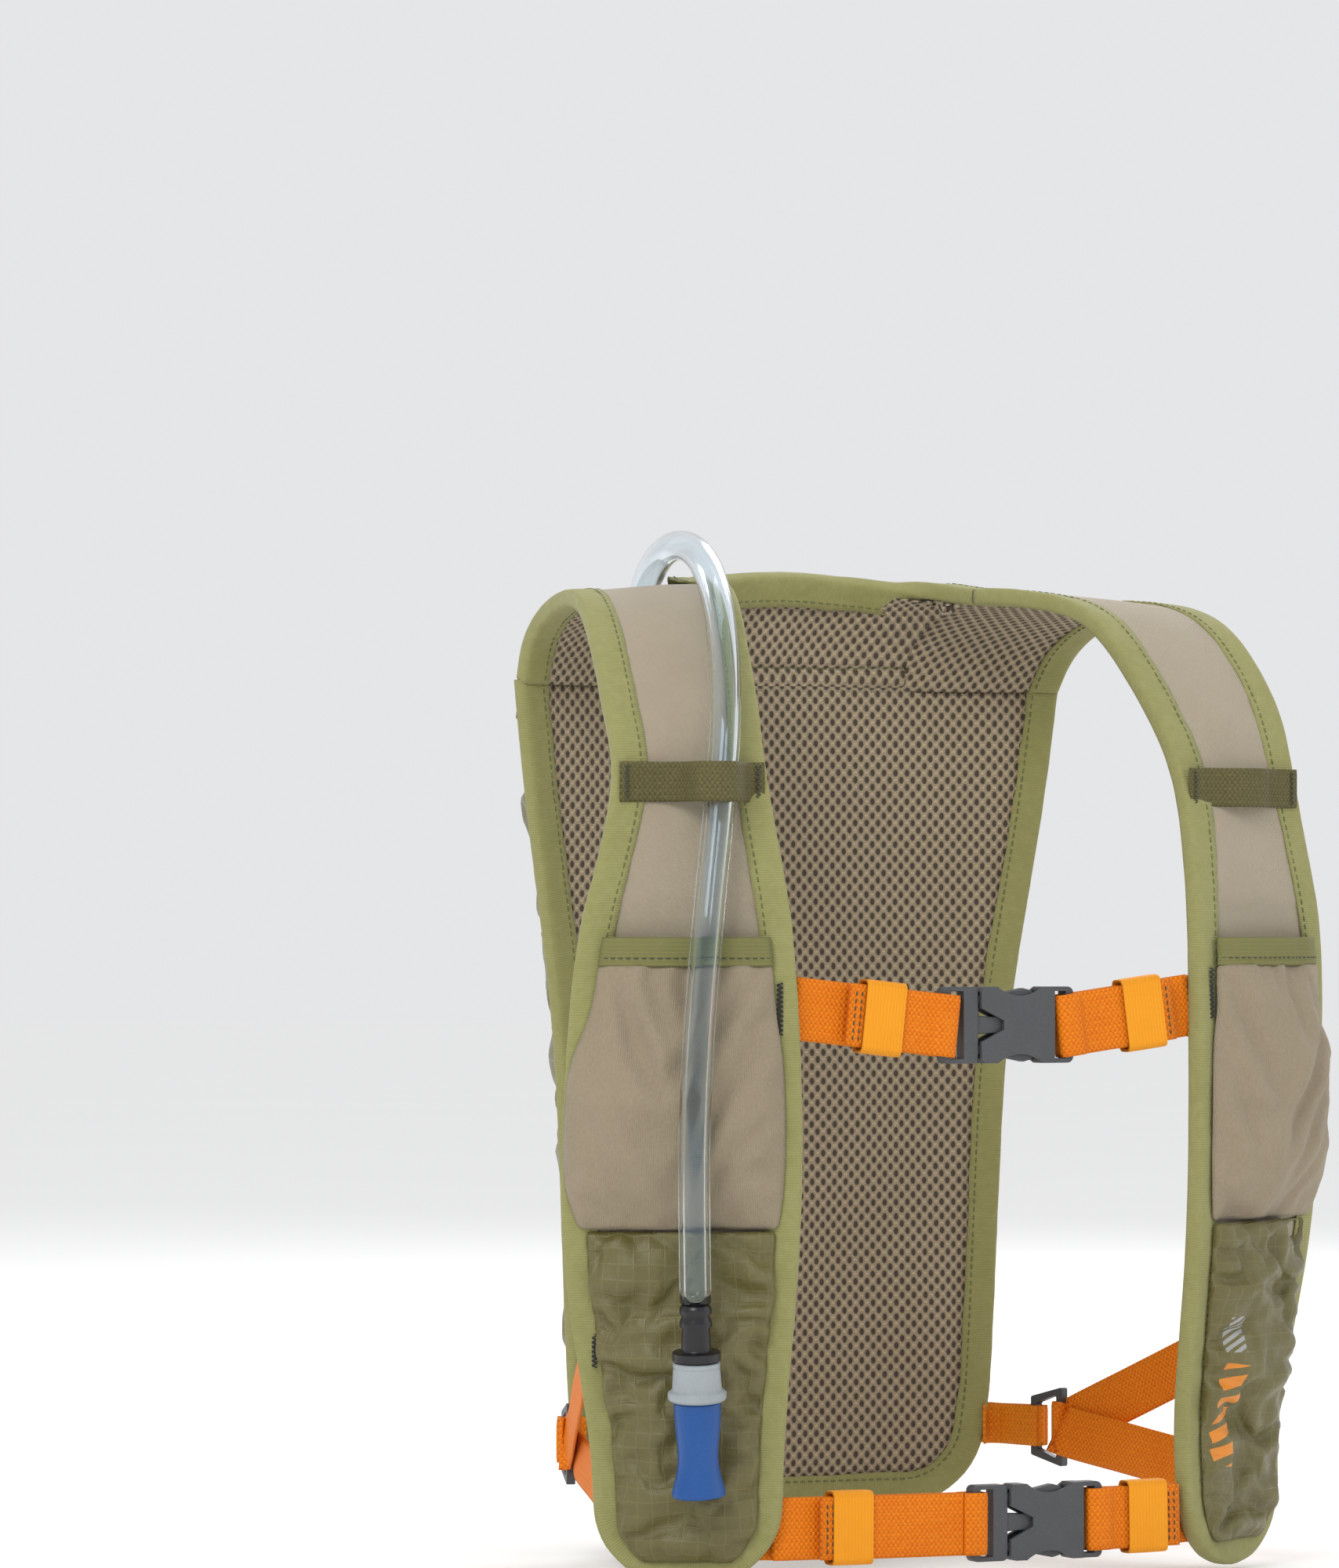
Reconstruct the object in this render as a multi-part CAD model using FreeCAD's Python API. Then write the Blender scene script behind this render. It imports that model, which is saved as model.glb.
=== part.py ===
import FreeCAD, Part
import math
import os

from FreeCAD import Vector

# A running-vest hydration pack in its worn shape. Millimetres, +Z up, -Y is the wearer's
# front, +X the wearer's left. The origin is on the wearer's centre line, level with the
# tops of the shoulder straps. Heights below are measured up from the strap ends.

# --- driving dimensions -------------------------------------------------------------
SHOULDER_HEIGHT = 350.0    # strap tops above the strap ends
MESH = 3.2                 # spacer mesh thickness
FABRIC = 0.8               # outer fabric thickness
TAPE = 0.7                 # binding tape thickness
TAPE_WIDTH = 11.0          # binding tape, each face
PLAY = 0.3                 # gap between neighbouring layers
WEB_WIDTH = 22.0           # strap webbing
WEB_THICK = 1.3
SIDE_WEB_WIDTH = 19.0      # side V-strap webbing
HOSE_OD = 11.0
BUCKLE_WIDTH = 27.0
BUCKLE_THICK = 8.0
YOKE_HALF = 52.0           # half width of the yoke between the shoulder straps
SEAM_HEIGHT = 318.0        # where the yoke and straps meet the back panel
BACK_DEPTH = 76.0          # back panel's inner face behind the origin, at the spine
BACK_CURVE = 0.0016        # how fast it curves forward towards the sides
FLAP_HALF = 90.0
FLAP_HINGE = (84.5, 334.0) # depth and height of the flap's stitched edge
STERNUM_DEPTH = -100.0
STERNUM_HEIGHT = 195.0
STERNUM_BUCKLE_X = 3.5
WAIST_DEPTH = -91.0
WAIST_HEIGHT = 19.0
WAIST_BUCKLE_X = 20.0
BUCKLE_REACH = 26.0        # half length of a closed buckle
RING_AT = (100.0, 42.0, 42.0)  # centre of a side ring: x, y, height

PARTS = "parts"
X_AXIS = Vector(1, 0, 0)
Z_AXIS = Vector(0, 0, 1)


# --- helpers ------------------------------------------------------------------------
def at(x, y, height):
    """A point given by its height above the strap ends."""
    return Vector(x, y, height - SHOULDER_HEIGHT)


def unit(vector):
    result = Vector(vector)
    result.normalize()
    return result


def closed(points):
    return Part.makePolygon(list(points) + [points[0]])


def ruled(wires):
    return Part.makeLoft(wires, True, True)


def mirrored(shape):
    return shape.mirror(Vector(0, 0, 0), X_AXIS)


def through(points, per_span):
    """Points along a smooth curve through the given points, per_span to each span."""
    curve = Part.BSplineCurve()
    curve.interpolate(Points=points, Parameters=[float(i) for i in range(len(points))])
    steps = (len(points) - 1) * per_span
    return [curve.value(i / per_span) for i in range(steps + 1)]


def extruded(outline, direction):
    return Part.Face(closed(outline)).extrude(direction)


def block(low, high):
    size = high - low
    return Part.makeBox(size.x, size.y, size.z, low)


def rounded(shape, radius, chosen):
    """The shape with a fillet on the edges that the test chooses."""
    edges = [edge for edge in shape.Edges if chosen(edge)]
    return shape.makeFillet(radius, edges)


def runs_along(axis):
    """A test for straight edges that run along the axis."""
    def test(edge):
        if edge.Curve.TypeId != "Part::GeomLine":
            return False
        return abs(unit(edge.tangentAt(edge.FirstParameter)).dot(axis)) > 0.999
    return test


def save(name, shape):
    if not shape.isValid():
        print("not valid:", name)
    solids = shape.Solids
    if not solids:
        print("no solid:", name)
    total = Part.Compound(solids) if len(solids) > 1 else solids[0]
    print(f"{name:28s} solids {len(solids)}  volume {total.Volume:9.0f} mm3")
    total.exportStep(os.path.join(PARTS, name + ".step"))


def save_pair(name, left):
    save(name + "_left", left)
    save(name + "_right", mirrored(left))


# --- shoulder straps ------------------------------------------------------------------
# The inner and outer edges of the left strap, from the back seam over the shoulder and
# down the chest to where its rounded end begins. Each pair of points is one station.
STRAP_EDGES = [
    ((52, 71.2, 319), (111, 55.8, 319)),
    ((52, 63, 334), (113, 46, 332)),
    ((52.5, 45, 345), (115, 30, 341)),
    ((54, 15, 350), (118, 10, 345)),
    ((62, -12, 348), (124, -14, 344)),
    ((71, -36, 341), (130, -36, 336)),
    ((77, -55, 323), (134, -54, 318)),
    ((81, -70, 303), (135.5, -65, 300)),
    ((83.5, -82, 280), (136, -71, 280)),
    ((82, -92, 250), (142, -71, 250)),
    ((80, -98, 219), (148, -68, 219)),
    ((78.5, -101, 165), (150, -63, 165)),
    ((78.5, -98, 110), (147, -58.5, 110)),
    ((79, -90, 60), (138, -56, 60)),
    ((80, -89, 28), (135.5, -57, 28)),
]
APEX_STATION = 3           # the yoke ends here on the neck side
STRAP_END = 28.0           # the rounded end is this tall
END_STEPS = 5
END_INSET = 2.4             # the layers stop this far inside the tape at the rounded end


class Station:
    """A cross-section of a strap: its two edges, and the directions across and out."""

    def __init__(self, inner, outer, along):
        self.inner, self.outer = inner, outer
        self.across = unit(outer - inner)
        self.out = unit(along.cross(self.across))
        self.centre = (inner + outer) * 0.5
        self.half = (outer - inner).Length / 2

    def place(self, share, off):
        """A point at a share of the half width from the centre, off the inner face."""
        return self.centre + self.across * (share * self.half) + self.out * off


def strap_stations(per_span=2):
    inner = through([at(*pair[0]) for pair in STRAP_EDGES], per_span)
    outer = through([at(*pair[1]) for pair in STRAP_EDGES], per_span)
    stations = []
    for i in range(len(inner)):
        before, after = max(i - 1, 0), min(i + 1, len(inner) - 1)
        along = (inner[after] + outer[after]) - (inner[before] + outer[before])
        stations.append(Station(inner[i], outer[i], unit(along)))
    return stations


STRAP = strap_stations()
LAST = STRAP[-1]
LAST.out = unit((Z_AXIS * -1).cross(LAST.across))   # the rounded end hangs upright


def end_point(angle):
    """A point on the strap's rounded end: 0 is its inner edge, pi its outer edge."""
    sideways = -math.cos(angle) * LAST.half
    down = math.sin(angle) * STRAP_END
    return LAST.centre + LAST.across * sideways - Z_AXIS * down


def station_at(height):
    """The cross-section of the strap's chest part at a height."""
    level = height - SHOULDER_HEIGHT
    chest = STRAP[2 * 6:]
    for above, below in zip(chest, chest[1:]):
        if above.centre.z >= level >= below.centre.z:
            share = (above.centre.z - level) / (above.centre.z - below.centre.z)
            inner = above.inner + (below.inner - above.inner) * share
            outer = above.outer + (below.outer - above.outer) * share
            return Station(inner, outer, -Z_AXIS)
    angle = math.asin(min(1.0, (LAST.centre.z - level) / STRAP_END))
    rounded_end = Station(end_point(angle), end_point(math.pi - angle), -Z_AXIS)
    rounded_end.out = LAST.out
    return rounded_end


def strap_panel(low, high, inset):
    """A layer of the strap between two distances off its inner face."""
    wires = []
    for station in STRAP + [station_at(h) for h in (21, 14, 8, 5)]:
        margin = inset if station in STRAP else END_INSET
        a = station.inner + station.across * margin
        b = station.outer - station.across * margin
        wires.append(closed([
            a + station.out * low, b + station.out * low,
            b + station.out * high, a + station.out * high,
        ]))
    return ruled(wires)


# The tape's folded section: how far in from the edge, and off the inner face.
TAPE_SECTION = [
    (-TAPE - PLAY, -TAPE - PLAY),
    (TAPE_WIDTH, -TAPE - PLAY),
    (TAPE_WIDTH, -PLAY),
    (PLAY, -PLAY),
    (PLAY, MESH + FABRIC + 2 * PLAY),
    (TAPE_WIDTH, MESH + FABRIC + 2 * PLAY),
    (TAPE_WIDTH, MESH + FABRIC + 2 * PLAY + TAPE),
    (-TAPE - PLAY, MESH + FABRIC + 2 * PLAY + TAPE),
]
LAYERS = MESH + FABRIC + 2 * PLAY   # from the mesh's inner face to the outer face
FACE = LAYERS + TAPE                # and to the outer face of the tape


def tape(frames):
    """Binding folded over an edge: frames of edge point, inward and outward directions."""
    wires = []
    for edge, inward, out in frames:
        wires.append(closed([edge + inward * u + out * w for u, w in TAPE_SECTION]))
    return ruled(wires)


def strap_binding():
    frames = [(s.inner, s.across, s.out) for s in STRAP[2 * APEX_STATION:]]
    for i in range(1, 2 * END_STEPS):
        angle = math.pi * i / (2 * END_STEPS)
        edge = end_point(angle)
        sideways = LAST.across * (math.sin(angle) * LAST.half)
        along = unit(sideways - Z_AXIS * (math.cos(angle) * STRAP_END))
        inward = unit(LAST.out.cross(along))
        if inward.dot(LAST.centre - edge) < 0:
            inward = inward * -1
        frames.append((edge, inward, LAST.out))
    frames += [(s.outer, s.across * -1, s.out) for s in reversed(STRAP)]
    return tape(frames)


# --- yoke and back panel -----------------------------------------------------------------
def back_depth(x):
    return BACK_DEPTH - BACK_CURVE * x * x


def yoke_panel(low, high):
    """A layer of the yoke: profiles from the back seam up to the neck, side by side."""
    edge = YOKE_HALF - PLAY
    shares = [-1, -0.75, -0.4, 0, 0.4, 0.75, 1]
    rows = [
        [(67.3, 327), (69.5, 327.5), (74, 328), (74.6, 328)],
        [(58, 337.5), (65.5, 338), (71, 338.5), (71.8, 338.5)],
        [(35, 348), (56, 347.5), (66.5, 348), (68, 348.5)],
    ]
    wires = []
    for share in shares:
        x = share * edge
        column = {1: 0, 0.75: 1, 0.4: 2, 0: 3}[abs(share)]
        line = [at(x, back_depth(x), SEAM_HEIGHT + PLAY)]
        line += [at(x, row[column][0], row[column][1]) for row in rows]
        outs = []
        for i in range(len(line)):
            along = unit(line[min(i + 1, 3)] - line[max(i - 1, 0)])
            outs.append(X_AXIS.cross(along) * -1)
        inner = [p + o * low for p, o in zip(line, outs)]
        outer = [p + o * high for p, o in zip(line, outs)]
        wires.append(closed(inner + outer[::-1]))
    return ruled(wires)


NECK_EDGE = [
    (54, 15, 350), (52.5, 30, 351.5), (46, 44, 354), (33, 55, 357), (17, 60.5, 359), (0, 62, 360),
]


def neck_binding():
    half = through([at(*p) for p in NECK_EDGE], 2)
    line = half[:-1] + [Vector(-p.x, p.y, p.z) for p in reversed(half)]
    frames = []
    for i, p in enumerate(line):
        along = unit(line[min(i + 1, len(line) - 1)] - line[max(i - 1, 0)])
        turn = math.pi / 2 * abs(p.x) / 54
        away = Vector(math.copysign(math.sin(turn), p.x), 0.43 * math.cos(turn), -0.9 * math.cos(turn))
        out = unit(along.cross(away))
        if out.z + out.y < 0:
            out = out * -1
        inward = unit(out.cross(along))
        if inward.dot(away) < 0:
            inward = inward * -1
        frames.append((p, inward, out))
    return tape(frames[1:-1])


# Half width of the back panel by height, down to where its corners begin.
BACK_SIDES = [(318, 111), (278, 106), (234, 99), (191, 93), (147, 90), (100, 88), (60, 86), (44, 84)]
BACK_BOTTOM = 13.0
CORNER = 31.0


def back_outline(inset=0.0):
    """The back panel's left edge from the seam to its bottom, moved in by inset."""
    side = through([Vector(half, 0, height) for height, half in BACK_SIDES], 2)
    points = [(p.x - inset, p.z) for p in side]
    radius = CORNER - inset
    for i in range(1, 6):
        angle = math.pi / 2 * i / 5
        x = points[2 * 7][0] - radius * (1 - math.cos(angle))
        points.append((x, BACK_BOTTOM + CORNER - radius * math.sin(angle)))
    return points


def back_point(x, height):
    return at(x, back_depth(x), height)


def back_out(x):
    return unit(Vector(2 * BACK_CURVE * x, 1, 0))


def across_back(half, height, low, high, columns=10):
    """A curved strip of the back panel's section at one height."""
    xs = [half * (2 * i / columns - 1) for i in range(columns + 1)]
    inner = [back_point(x, height) + back_out(x) * low for x in xs]
    outer = [back_point(x, height) + back_out(x) * high for x in xs]
    return closed(inner + outer[::-1])


def back_panel(low, high, inset):
    return ruled([across_back(x, height, low, high) for x, height in back_outline(inset)])


def back_binding():
    half = back_outline() + [(26.0, BACK_BOTTOM), (9.0, BACK_BOTTOM)]
    line = half + [(-x, height) for x, height in reversed(half)]
    frames = []
    for i, (x, height) in enumerate(line):
        a, b = line[max(i - 1, 0)], line[min(i + 1, len(line) - 1)]
        along = unit(back_point(*b) - back_point(*a))
        out = back_out(x)
        inward = unit(along.cross(out))
        if inward.dot(Vector(0, BACK_DEPTH, 200 - SHOULDER_HEIGHT) - back_point(x, height)) < 0:
            inward = inward * -1
        frames.append((back_point(x, height), inward, out))
    return tape(frames)


# --- bag, bladder and flap -------------------------------------------------------------
# Height, half width and depth of the bag off the back panel, from its mouth down.
BAG_SECTIONS = [
    (316, 96, 23), (300, 100, 28), (278, 101, 31), (234, 95, 33), (191, 89, 33),
    (147, 86, 33), (100, 84, 32), (64, 82, 27), (40, 76, 18), (24, 62, 7), (18, 52, 2.5),
]
BAG_WALL = 0.9


def pouch_section(half, depth, height, columns=12):
    """A D-shaped section whose flat side lies on the back panel's outer face."""
    base = FACE + PLAY
    xs = [half * (2 * i / columns - 1) for i in range(columns + 1)]
    flat = [back_point(x, height) + back_out(x) * base for x in xs]
    round_side = []
    for x in xs[1:-1]:
        swell = (1 - abs(x / half) ** 3) ** 0.6
        round_side.append(back_point(x, height) + back_out(x) * (base + 0.4 + (depth - 0.4) * swell))
    return flat, round_side


def bag_shell():
    wires, hollow = [], []
    for height, half, depth in BAG_SECTIONS:
        flat, round_side = pouch_section(half, depth, height)
        wires.append(closed(flat + round_side[::-1]))
    for height, half, depth in BAG_SECTIONS[:-2]:
        height = height + 1.0 if height == BAG_SECTIONS[0][0] else height
        flat, round_side = pouch_section(half - 2, depth - BAG_WALL, height)
        lifted = [p + back_out(p.x) * BAG_WALL for p in flat]
        hollow.append(closed(lifted + round_side[::-1]))
    return ruled(wires).cut(ruled(hollow))


def mouth_elastic():
    """The elastic hem over the outside of the bag's mouth."""
    bands = []
    for height, depth in ((317.5, 25.2), (307.0, 27.2)):
        outer = pouch_section(100.5, depth, height)[1]
        inner = pouch_section(99.7, depth - 1.0, height)[1]
        bands.append(closed(outer + inner[::-1]))
    return ruled(bands)


# Height, half width and thickness of the bladder.
BLADDER_SECTIONS = [
    (292, 60, 4), (284, 70, 8), (262, 73, 12), (200, 73, 13.5), (130, 72, 12.5), (92, 70, 11.2),
    (62, 66, 9), (50, 58, 6), (45, 52, 3),
]
BLADDER_OFF = FACE + PLAY + BAG_WALL + 1.2


def bladder():
    wires = []
    for height, half, thick in BLADDER_SECTIONS:
        xs = [half * math.cos(math.pi * i / 8) for i in range(17)]
        points = []
        for i, x in enumerate(xs):
            way = round(math.sin(math.pi * i / 8), 6)
            swell = 0.5 + 0.5 * math.copysign(abs(way) ** 0.7, way)
            points.append(back_point(x, height) + back_out(x) * (BLADDER_OFF + thick * swell))
        wires.append(closed(points[:-1]))
    return ruled(wires)


CAP_AT = (0.0, 252.0)      # bladder fill cap: x and height
CAP_RADIUS = 24.0
CAP_DEPTH = BACK_DEPTH + BLADDER_OFF + 13.4


def fill_parts():
    """The bladder's fill port, a short threaded ring, and the cap that turns on it."""
    out = Vector(0, 1, 0)
    base = at(CAP_AT[0], CAP_DEPTH, CAP_AT[1])
    port = Part.makeCylinder(20.5, 4.2, base, out).cut(Part.makeCylinder(17.5, 6, base - out, out))
    cap = Part.makeCylinder(CAP_RADIUS, 6.4, base + out * 0.6, out)
    cap = cap.cut(Part.makeCylinder(21.0, 4.2, base + out * 0.5, out))
    for i in range(8):
        angle = math.pi * i / 4
        middle = base + Vector(math.cos(angle), 0, math.sin(angle)) * (CAP_RADIUS + 1.2)
        cap = cap.cut(Part.makeCylinder(2.6, 9, middle - out, out))
    return port, cap


def bladder_outlet():
    """The flat outlet on the bladder's front, where the tube pushes on."""
    x, y, height = INNER_ROUTE[0]
    base = Part.makeCylinder(11, 2.0, at(x, y - 6.0, height - 8), Vector(0, 1, 0))
    return base.fuse(Part.makeCylinder(6, 14, at(x, y, height - 14.3), Z_AXIS))


def flap_profile(x, lift):
    """The flap's section at x: from its stitched edge over the mouth and down the bag."""
    droop = (abs(x) / FLAP_HALF) ** 2
    y0, z0 = FLAP_HINGE
    bottom = 272 + 36 * droop
    back = back_depth(x) - BACK_DEPTH
    line = [
        (y0 + 0.5, z0), (y0 + 9, z0 + 0.6), (back + 103, 330 - 2 * droop),
        (back + 112.5, 318 - droop), (back + 116, (bottom + 318) / 2), (back + 116.5, bottom),
    ]
    points = [at(x, y, z) for y, z in line]
    outs = []
    for i in range(len(points)):
        along = unit(points[min(i + 1, 5)] - points[max(i - 1, 0)])
        outs.append(X_AXIS.cross(along))
    return [p + o * lift for p, o in zip(points, outs)]


def flap_panel():
    wires = []
    for i in range(13):
        x = FLAP_HALF * (i / 6 - 1)
        wires.append(closed(flap_profile(x, 0) + flap_profile(x, FABRIC + 0.2)[::-1]))
    return ruled(wires)


def flap_hem():
    """A doubled band along the flap's lower edge, on its outer face."""
    wires = []
    for i in range(13):
        x = FLAP_HALF * (i / 6 - 1)
        low = flap_profile(x, FABRIC + 0.3)
        high = flap_profile(x, FABRIC + 1.1)
        rise = Vector(0, 0, 8.0)
        wires.append(closed([low[-1], low[-1] + rise, high[-1] + rise, high[-1]]))
    return ruled(wires)


def flap_tab():
    y = 116.8
    corners = [at(-32, y, 271.4), at(-15, y, 270.6), at(-23, y, 259)]
    return extruded(corners, Vector(0, 1.2, 0))


PORT_X = -58.0             # where the drink tube leaves the bag
PORT_DEPTH = 76.0


def top_strip():
    """The strip that closes the bag above its mouth, with the drink tube's port."""
    y0, z0 = FLAP_HINGE
    front = [(-FLAP_HALF, 63), (-70, 63), (-52, 72), (-30, 77.5), (30, 77.5), (52, 72), (FLAP_HALF, 63)]
    outline = front + [(FLAP_HALF, y0), (-FLAP_HALF, y0)]
    strip = extruded([at(x, y, z0 - 0.8) for x, y in outline], Vector(0, 0, 1.1))
    half = HOSE_OD / 2 + 0.7
    low = at(PORT_X - half, PORT_DEPTH - half - 2.4, z0 - 4)
    return strip.cut(block(low, at(PORT_X + half, PORT_DEPTH + half, z0 + 4)))


# --- pockets and loops on the straps ----------------------------------------------------
# Height above the strap ends and how far the pocket stands off the strap there.
STRETCH_POCKET = [
    (216, 8), (205, 10), (190, 12), (170, 14), (150, 12.5), (138, 8.5), (128, 3.5), (124.5, 1.8),
]
LOWER_POCKET = [
    (123, 2.2), (112, 6), (95, 8), (70, 9), (45, 8.5), (26, 7), (14, 4.5), (9, 2.2),
]
POCKET_WALL = 1.0
POCKET_INSET = 7.5


def pocket_section(height, swell, wall, columns=10):
    """The pocket's outer and inner lines across the strap at a height."""
    station = station_at(height)
    edge = station.half - POCKET_INSET
    outer, inner = [], []
    for i in range(columns + 1):
        share = 2 * i / columns - 1
        crown = (1 - abs(share) ** 2.6) ** 0.7
        middle = station.centre + station.across * (share * edge)
        high = FACE + PLAY + wall + max(0.0, swell - wall) * crown
        outer.append(middle + station.out * high)
        inner.append(middle + station.out * (high - wall))
    return outer, inner


def stretch_pocket():
    wires = []
    for height, swell in STRETCH_POCKET:
        outer, inner = pocket_section(height, swell, POCKET_WALL)
        wires.append(closed(outer + inner[::-1]))
    return ruled(wires)


def pocket_elastic():
    wires = []
    for height in (225.5, 216.3):
        outer, inner = pocket_section(height, 8.5, 1.6)
        wires.append(closed(outer + inner[::-1]))
    return ruled(wires)


def lower_pocket():
    """The gathered lower pouch, closed all round, standing off the strap."""
    wires = []
    for height, swell in LOWER_POCKET:
        outer, inner = pocket_section(height, swell, POCKET_WALL)
        station = station_at(height)
        edge = station.half - POCKET_INSET
        base = [
            station.centre + station.across * (edge * side) + station.out * (FACE + PLAY)
            for side in (1, -1)
        ]
        wires.append(closed(outer + base))
    return ruled(wires)


KEEPER_LOOP_HEIGHT = 280.0
LOOP_WIDTH = 14.0
LOOP_THICK = 1.0


def keeper_loop(rise, share):
    """A ribbed webbing loop across the strap, standing off by rise at a share of its width."""
    wires = []
    spots = ((-0.97, 0.0), (share - 0.42, 0.3), (share - 0.3, 0.8), (share - 0.12, 1.0),
             (share + 0.12, 1.0), (share + 0.3, 0.8), (share + 0.42, 0.3), (0.97, 0.0))
    for step in (LOOP_WIDTH / 2, -LOOP_WIDTH / 2):
        station = station_at(KEEPER_LOOP_HEIGHT + step)
        floor = FACE + 3 * PLAY
        lower = [station.place(spot, floor + rise * lift) for spot, lift in spots]
        upper = [station.place(spot, floor + rise * lift + LOOP_THICK) for spot, lift in spots]
        wires.append(closed(lower + upper[::-1]))
    return ruled(wires)


def hang_loop():
    line = [(-30, 72.6), (-23, 77), (-12, 80.6), (0, 81.8), (12, 80.6), (23, 77), (30, 72.6)]
    inner = [at(x, y, 339) for x, y in line]
    outer = [p + Vector(0, 1.2, 0) for p in inner]
    return extruded(inner + outer[::-1], Vector(0, 0, 10))


# --- chest straps -----------------------------------------------------------------------
BAR = 3.0                  # a web bar's width
SLOT = 5.0                 # a web slot's length
SLOT_HALF = WEB_WIDTH / 2 + 0.9
HALF = BUCKLE_WIDTH / 2
MOUTH = -11.5              # the female half's mouth, from the buckle's middle
CAVITY_HALF = 11.7
CAVITY_THICK = 4.8
PRONG_ROOT = (-11.0, 9.0)  # a prong's hinge line: along the buckle and up
RELEASE_TRAVEL = 24.0


def buckle_female():
    body = block(Vector(MOUTH, -BUCKLE_THICK / 2, -HALF), Vector(BUCKLE_REACH, BUCKLE_THICK / 2, HALF))
    body = rounded(body, 2.4, runs_along(Vector(0, 1, 0)))
    half_thick = CAVITY_THICK / 2
    cavity = block(Vector(MOUTH - 1, -half_thick, -CAVITY_HALF), Vector(14.5, half_thick, CAVITY_HALF))
    body = body.cut(cavity)
    window = block(Vector(-4, -CAVITY_THICK / 2, -HALF - 1), Vector(12.5, CAVITY_THICK / 2, HALF + 1))
    body = body.cut(window)
    for side in (1, -1):
        low = Vector(4.3, -BUCKLE_THICK / 2 - 1, side * (HALF + 11.8))
        scoop = Part.makeCylinder(15, BUCKLE_THICK + 2, low, Vector(0, 1, 0))
        body = body.cut(scoop)
    v_cut = [(MOUTH - 1, -6.5), (MOUTH - 1, 6.5), (MOUTH + 9, 1.6), (MOUTH + 9, -1.6)]
    notch = extruded([Vector(x, -5, z) for x, z in v_cut], Vector(0, 10, 0))
    body = body.cut(notch)
    slot = block(Vector(BUCKLE_REACH - BAR - SLOT, -5, -SLOT_HALF), Vector(BUCKLE_REACH - BAR, 5, SLOT_HALF))
    body = body.cut(slot)
    for side in (1, -1):
        low = Vector(BUCKLE_REACH - BAR - SLOT, min(side * 2.9, side * 6), -HALF - 1)
        body = body.cut(block(low, low + Vector(BAR + SLOT + 1, 3.1, BUCKLE_WIDTH + 2)))
    return body


def buckle_male():
    frame = block(Vector(-BUCKLE_REACH, -2.9, -HALF), Vector(-12.2, 2.9, HALF))
    frame = rounded(frame, 2.0, runs_along(Vector(0, 1, 0)))
    low = Vector(-BUCKLE_REACH + BAR, -5, -SLOT_HALF)
    slot = block(low, Vector(low.x + SLOT, 5, SLOT_HALF))
    tongue = [(-12.3, -3.2), (-12.3, 3.2), (3, 2.6), (6, 0.8), (6, -0.8), (3, -2.6)]
    guide = extruded([Vector(x, -1.9, z) for x, z in tongue], Vector(0, 3.8, 0))
    return frame.cut(slot).fuse(guide)


def buckle_prong():
    """The upper prong: a springy arm with a lens-shaped press pad."""
    outline = [
        (-11.9, 10.2), (-8, 10.4), (-4, 11.2), (0, 11.7), (4, 12.5), (6.5, 13.0), (9, 12.4),
        (11, 10.8), (10.6, 8.9), (6.5, 9.4), (0, 8.6), (-8, 7.6), (-11.9, 7.6),
    ]
    return extruded([Vector(x, -2.0, z) for x, z in outline], Vector(0, 4.0, 0))


def hairpin(start, end, anchor, tail, rise):
    """Webbing from an anchor to a bar, round it and back along itself to its free tail.

    start and end are the bar's two faces, anchor the sewn end and tail the free end, all
    along X. rise is how far the anchor stands above the bar, and the webbing slants by it."""
    sign = 1 if anchor > start else -1
    gap = 3.3              # half the clear height round a bar
    flat = 1.2             # the layers run this far either side of the middle
    near = start + sign * 1.0
    fold = end - sign * 1.6      # the inside of the fold, beyond the bar
    outline = [
        (anchor, flat), (near + sign * 4, flat), (near, gap), (end, gap), (fold, gap - 0.3),
        (fold, 0.3 - gap), (end, -gap), (near, -gap), (near + sign * 4, -flat), (tail, -flat),
        (tail, -flat - WEB_THICK), (near + sign * 3.4, -flat - WEB_THICK), (near, -gap - WEB_THICK),
        (end - sign * 0.6, -gap - WEB_THICK), (fold - sign * WEB_THICK, 0.6 - gap),
        (fold - sign * WEB_THICK, gap - 0.6), (end - sign * 0.6, gap + WEB_THICK),
        (near, gap + WEB_THICK), (near + sign * 3.4, flat + WEB_THICK), (anchor, flat + WEB_THICK),
    ]
    solid = extruded([Vector(x, y, -WEB_WIDTH / 2) for x, y in outline], Vector(0, 0, WEB_WIDTH))
    slant = math.degrees(math.atan2(rise, abs(anchor - start)))
    solid.rotate(Vector(start, 0, 0), Vector(0, 1, 0), -slant * sign)
    return solid


def keeper(x, rise, start, anchor):
    """An elastic keeper round both layers of webbing."""
    outer = block(Vector(x - 8, -3.9, -13.2), Vector(x + 8, 3.9, 13.2))
    outer = rounded(outer, 1.6, runs_along(X_AXIS))
    inner = block(Vector(x - 9, -2.8, -WEB_WIDTH / 2 - 0.4), Vector(x + 9, 2.8, WEB_WIDTH / 2 + 0.4))
    solid = outer.cut(inner)
    sign = 1 if anchor > start else -1
    slant = math.degrees(math.atan2(rise, abs(anchor - start)))
    solid.rotate(Vector(start, 0, 0), Vector(0, 1, 0), -slant * sign)
    return solid


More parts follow.
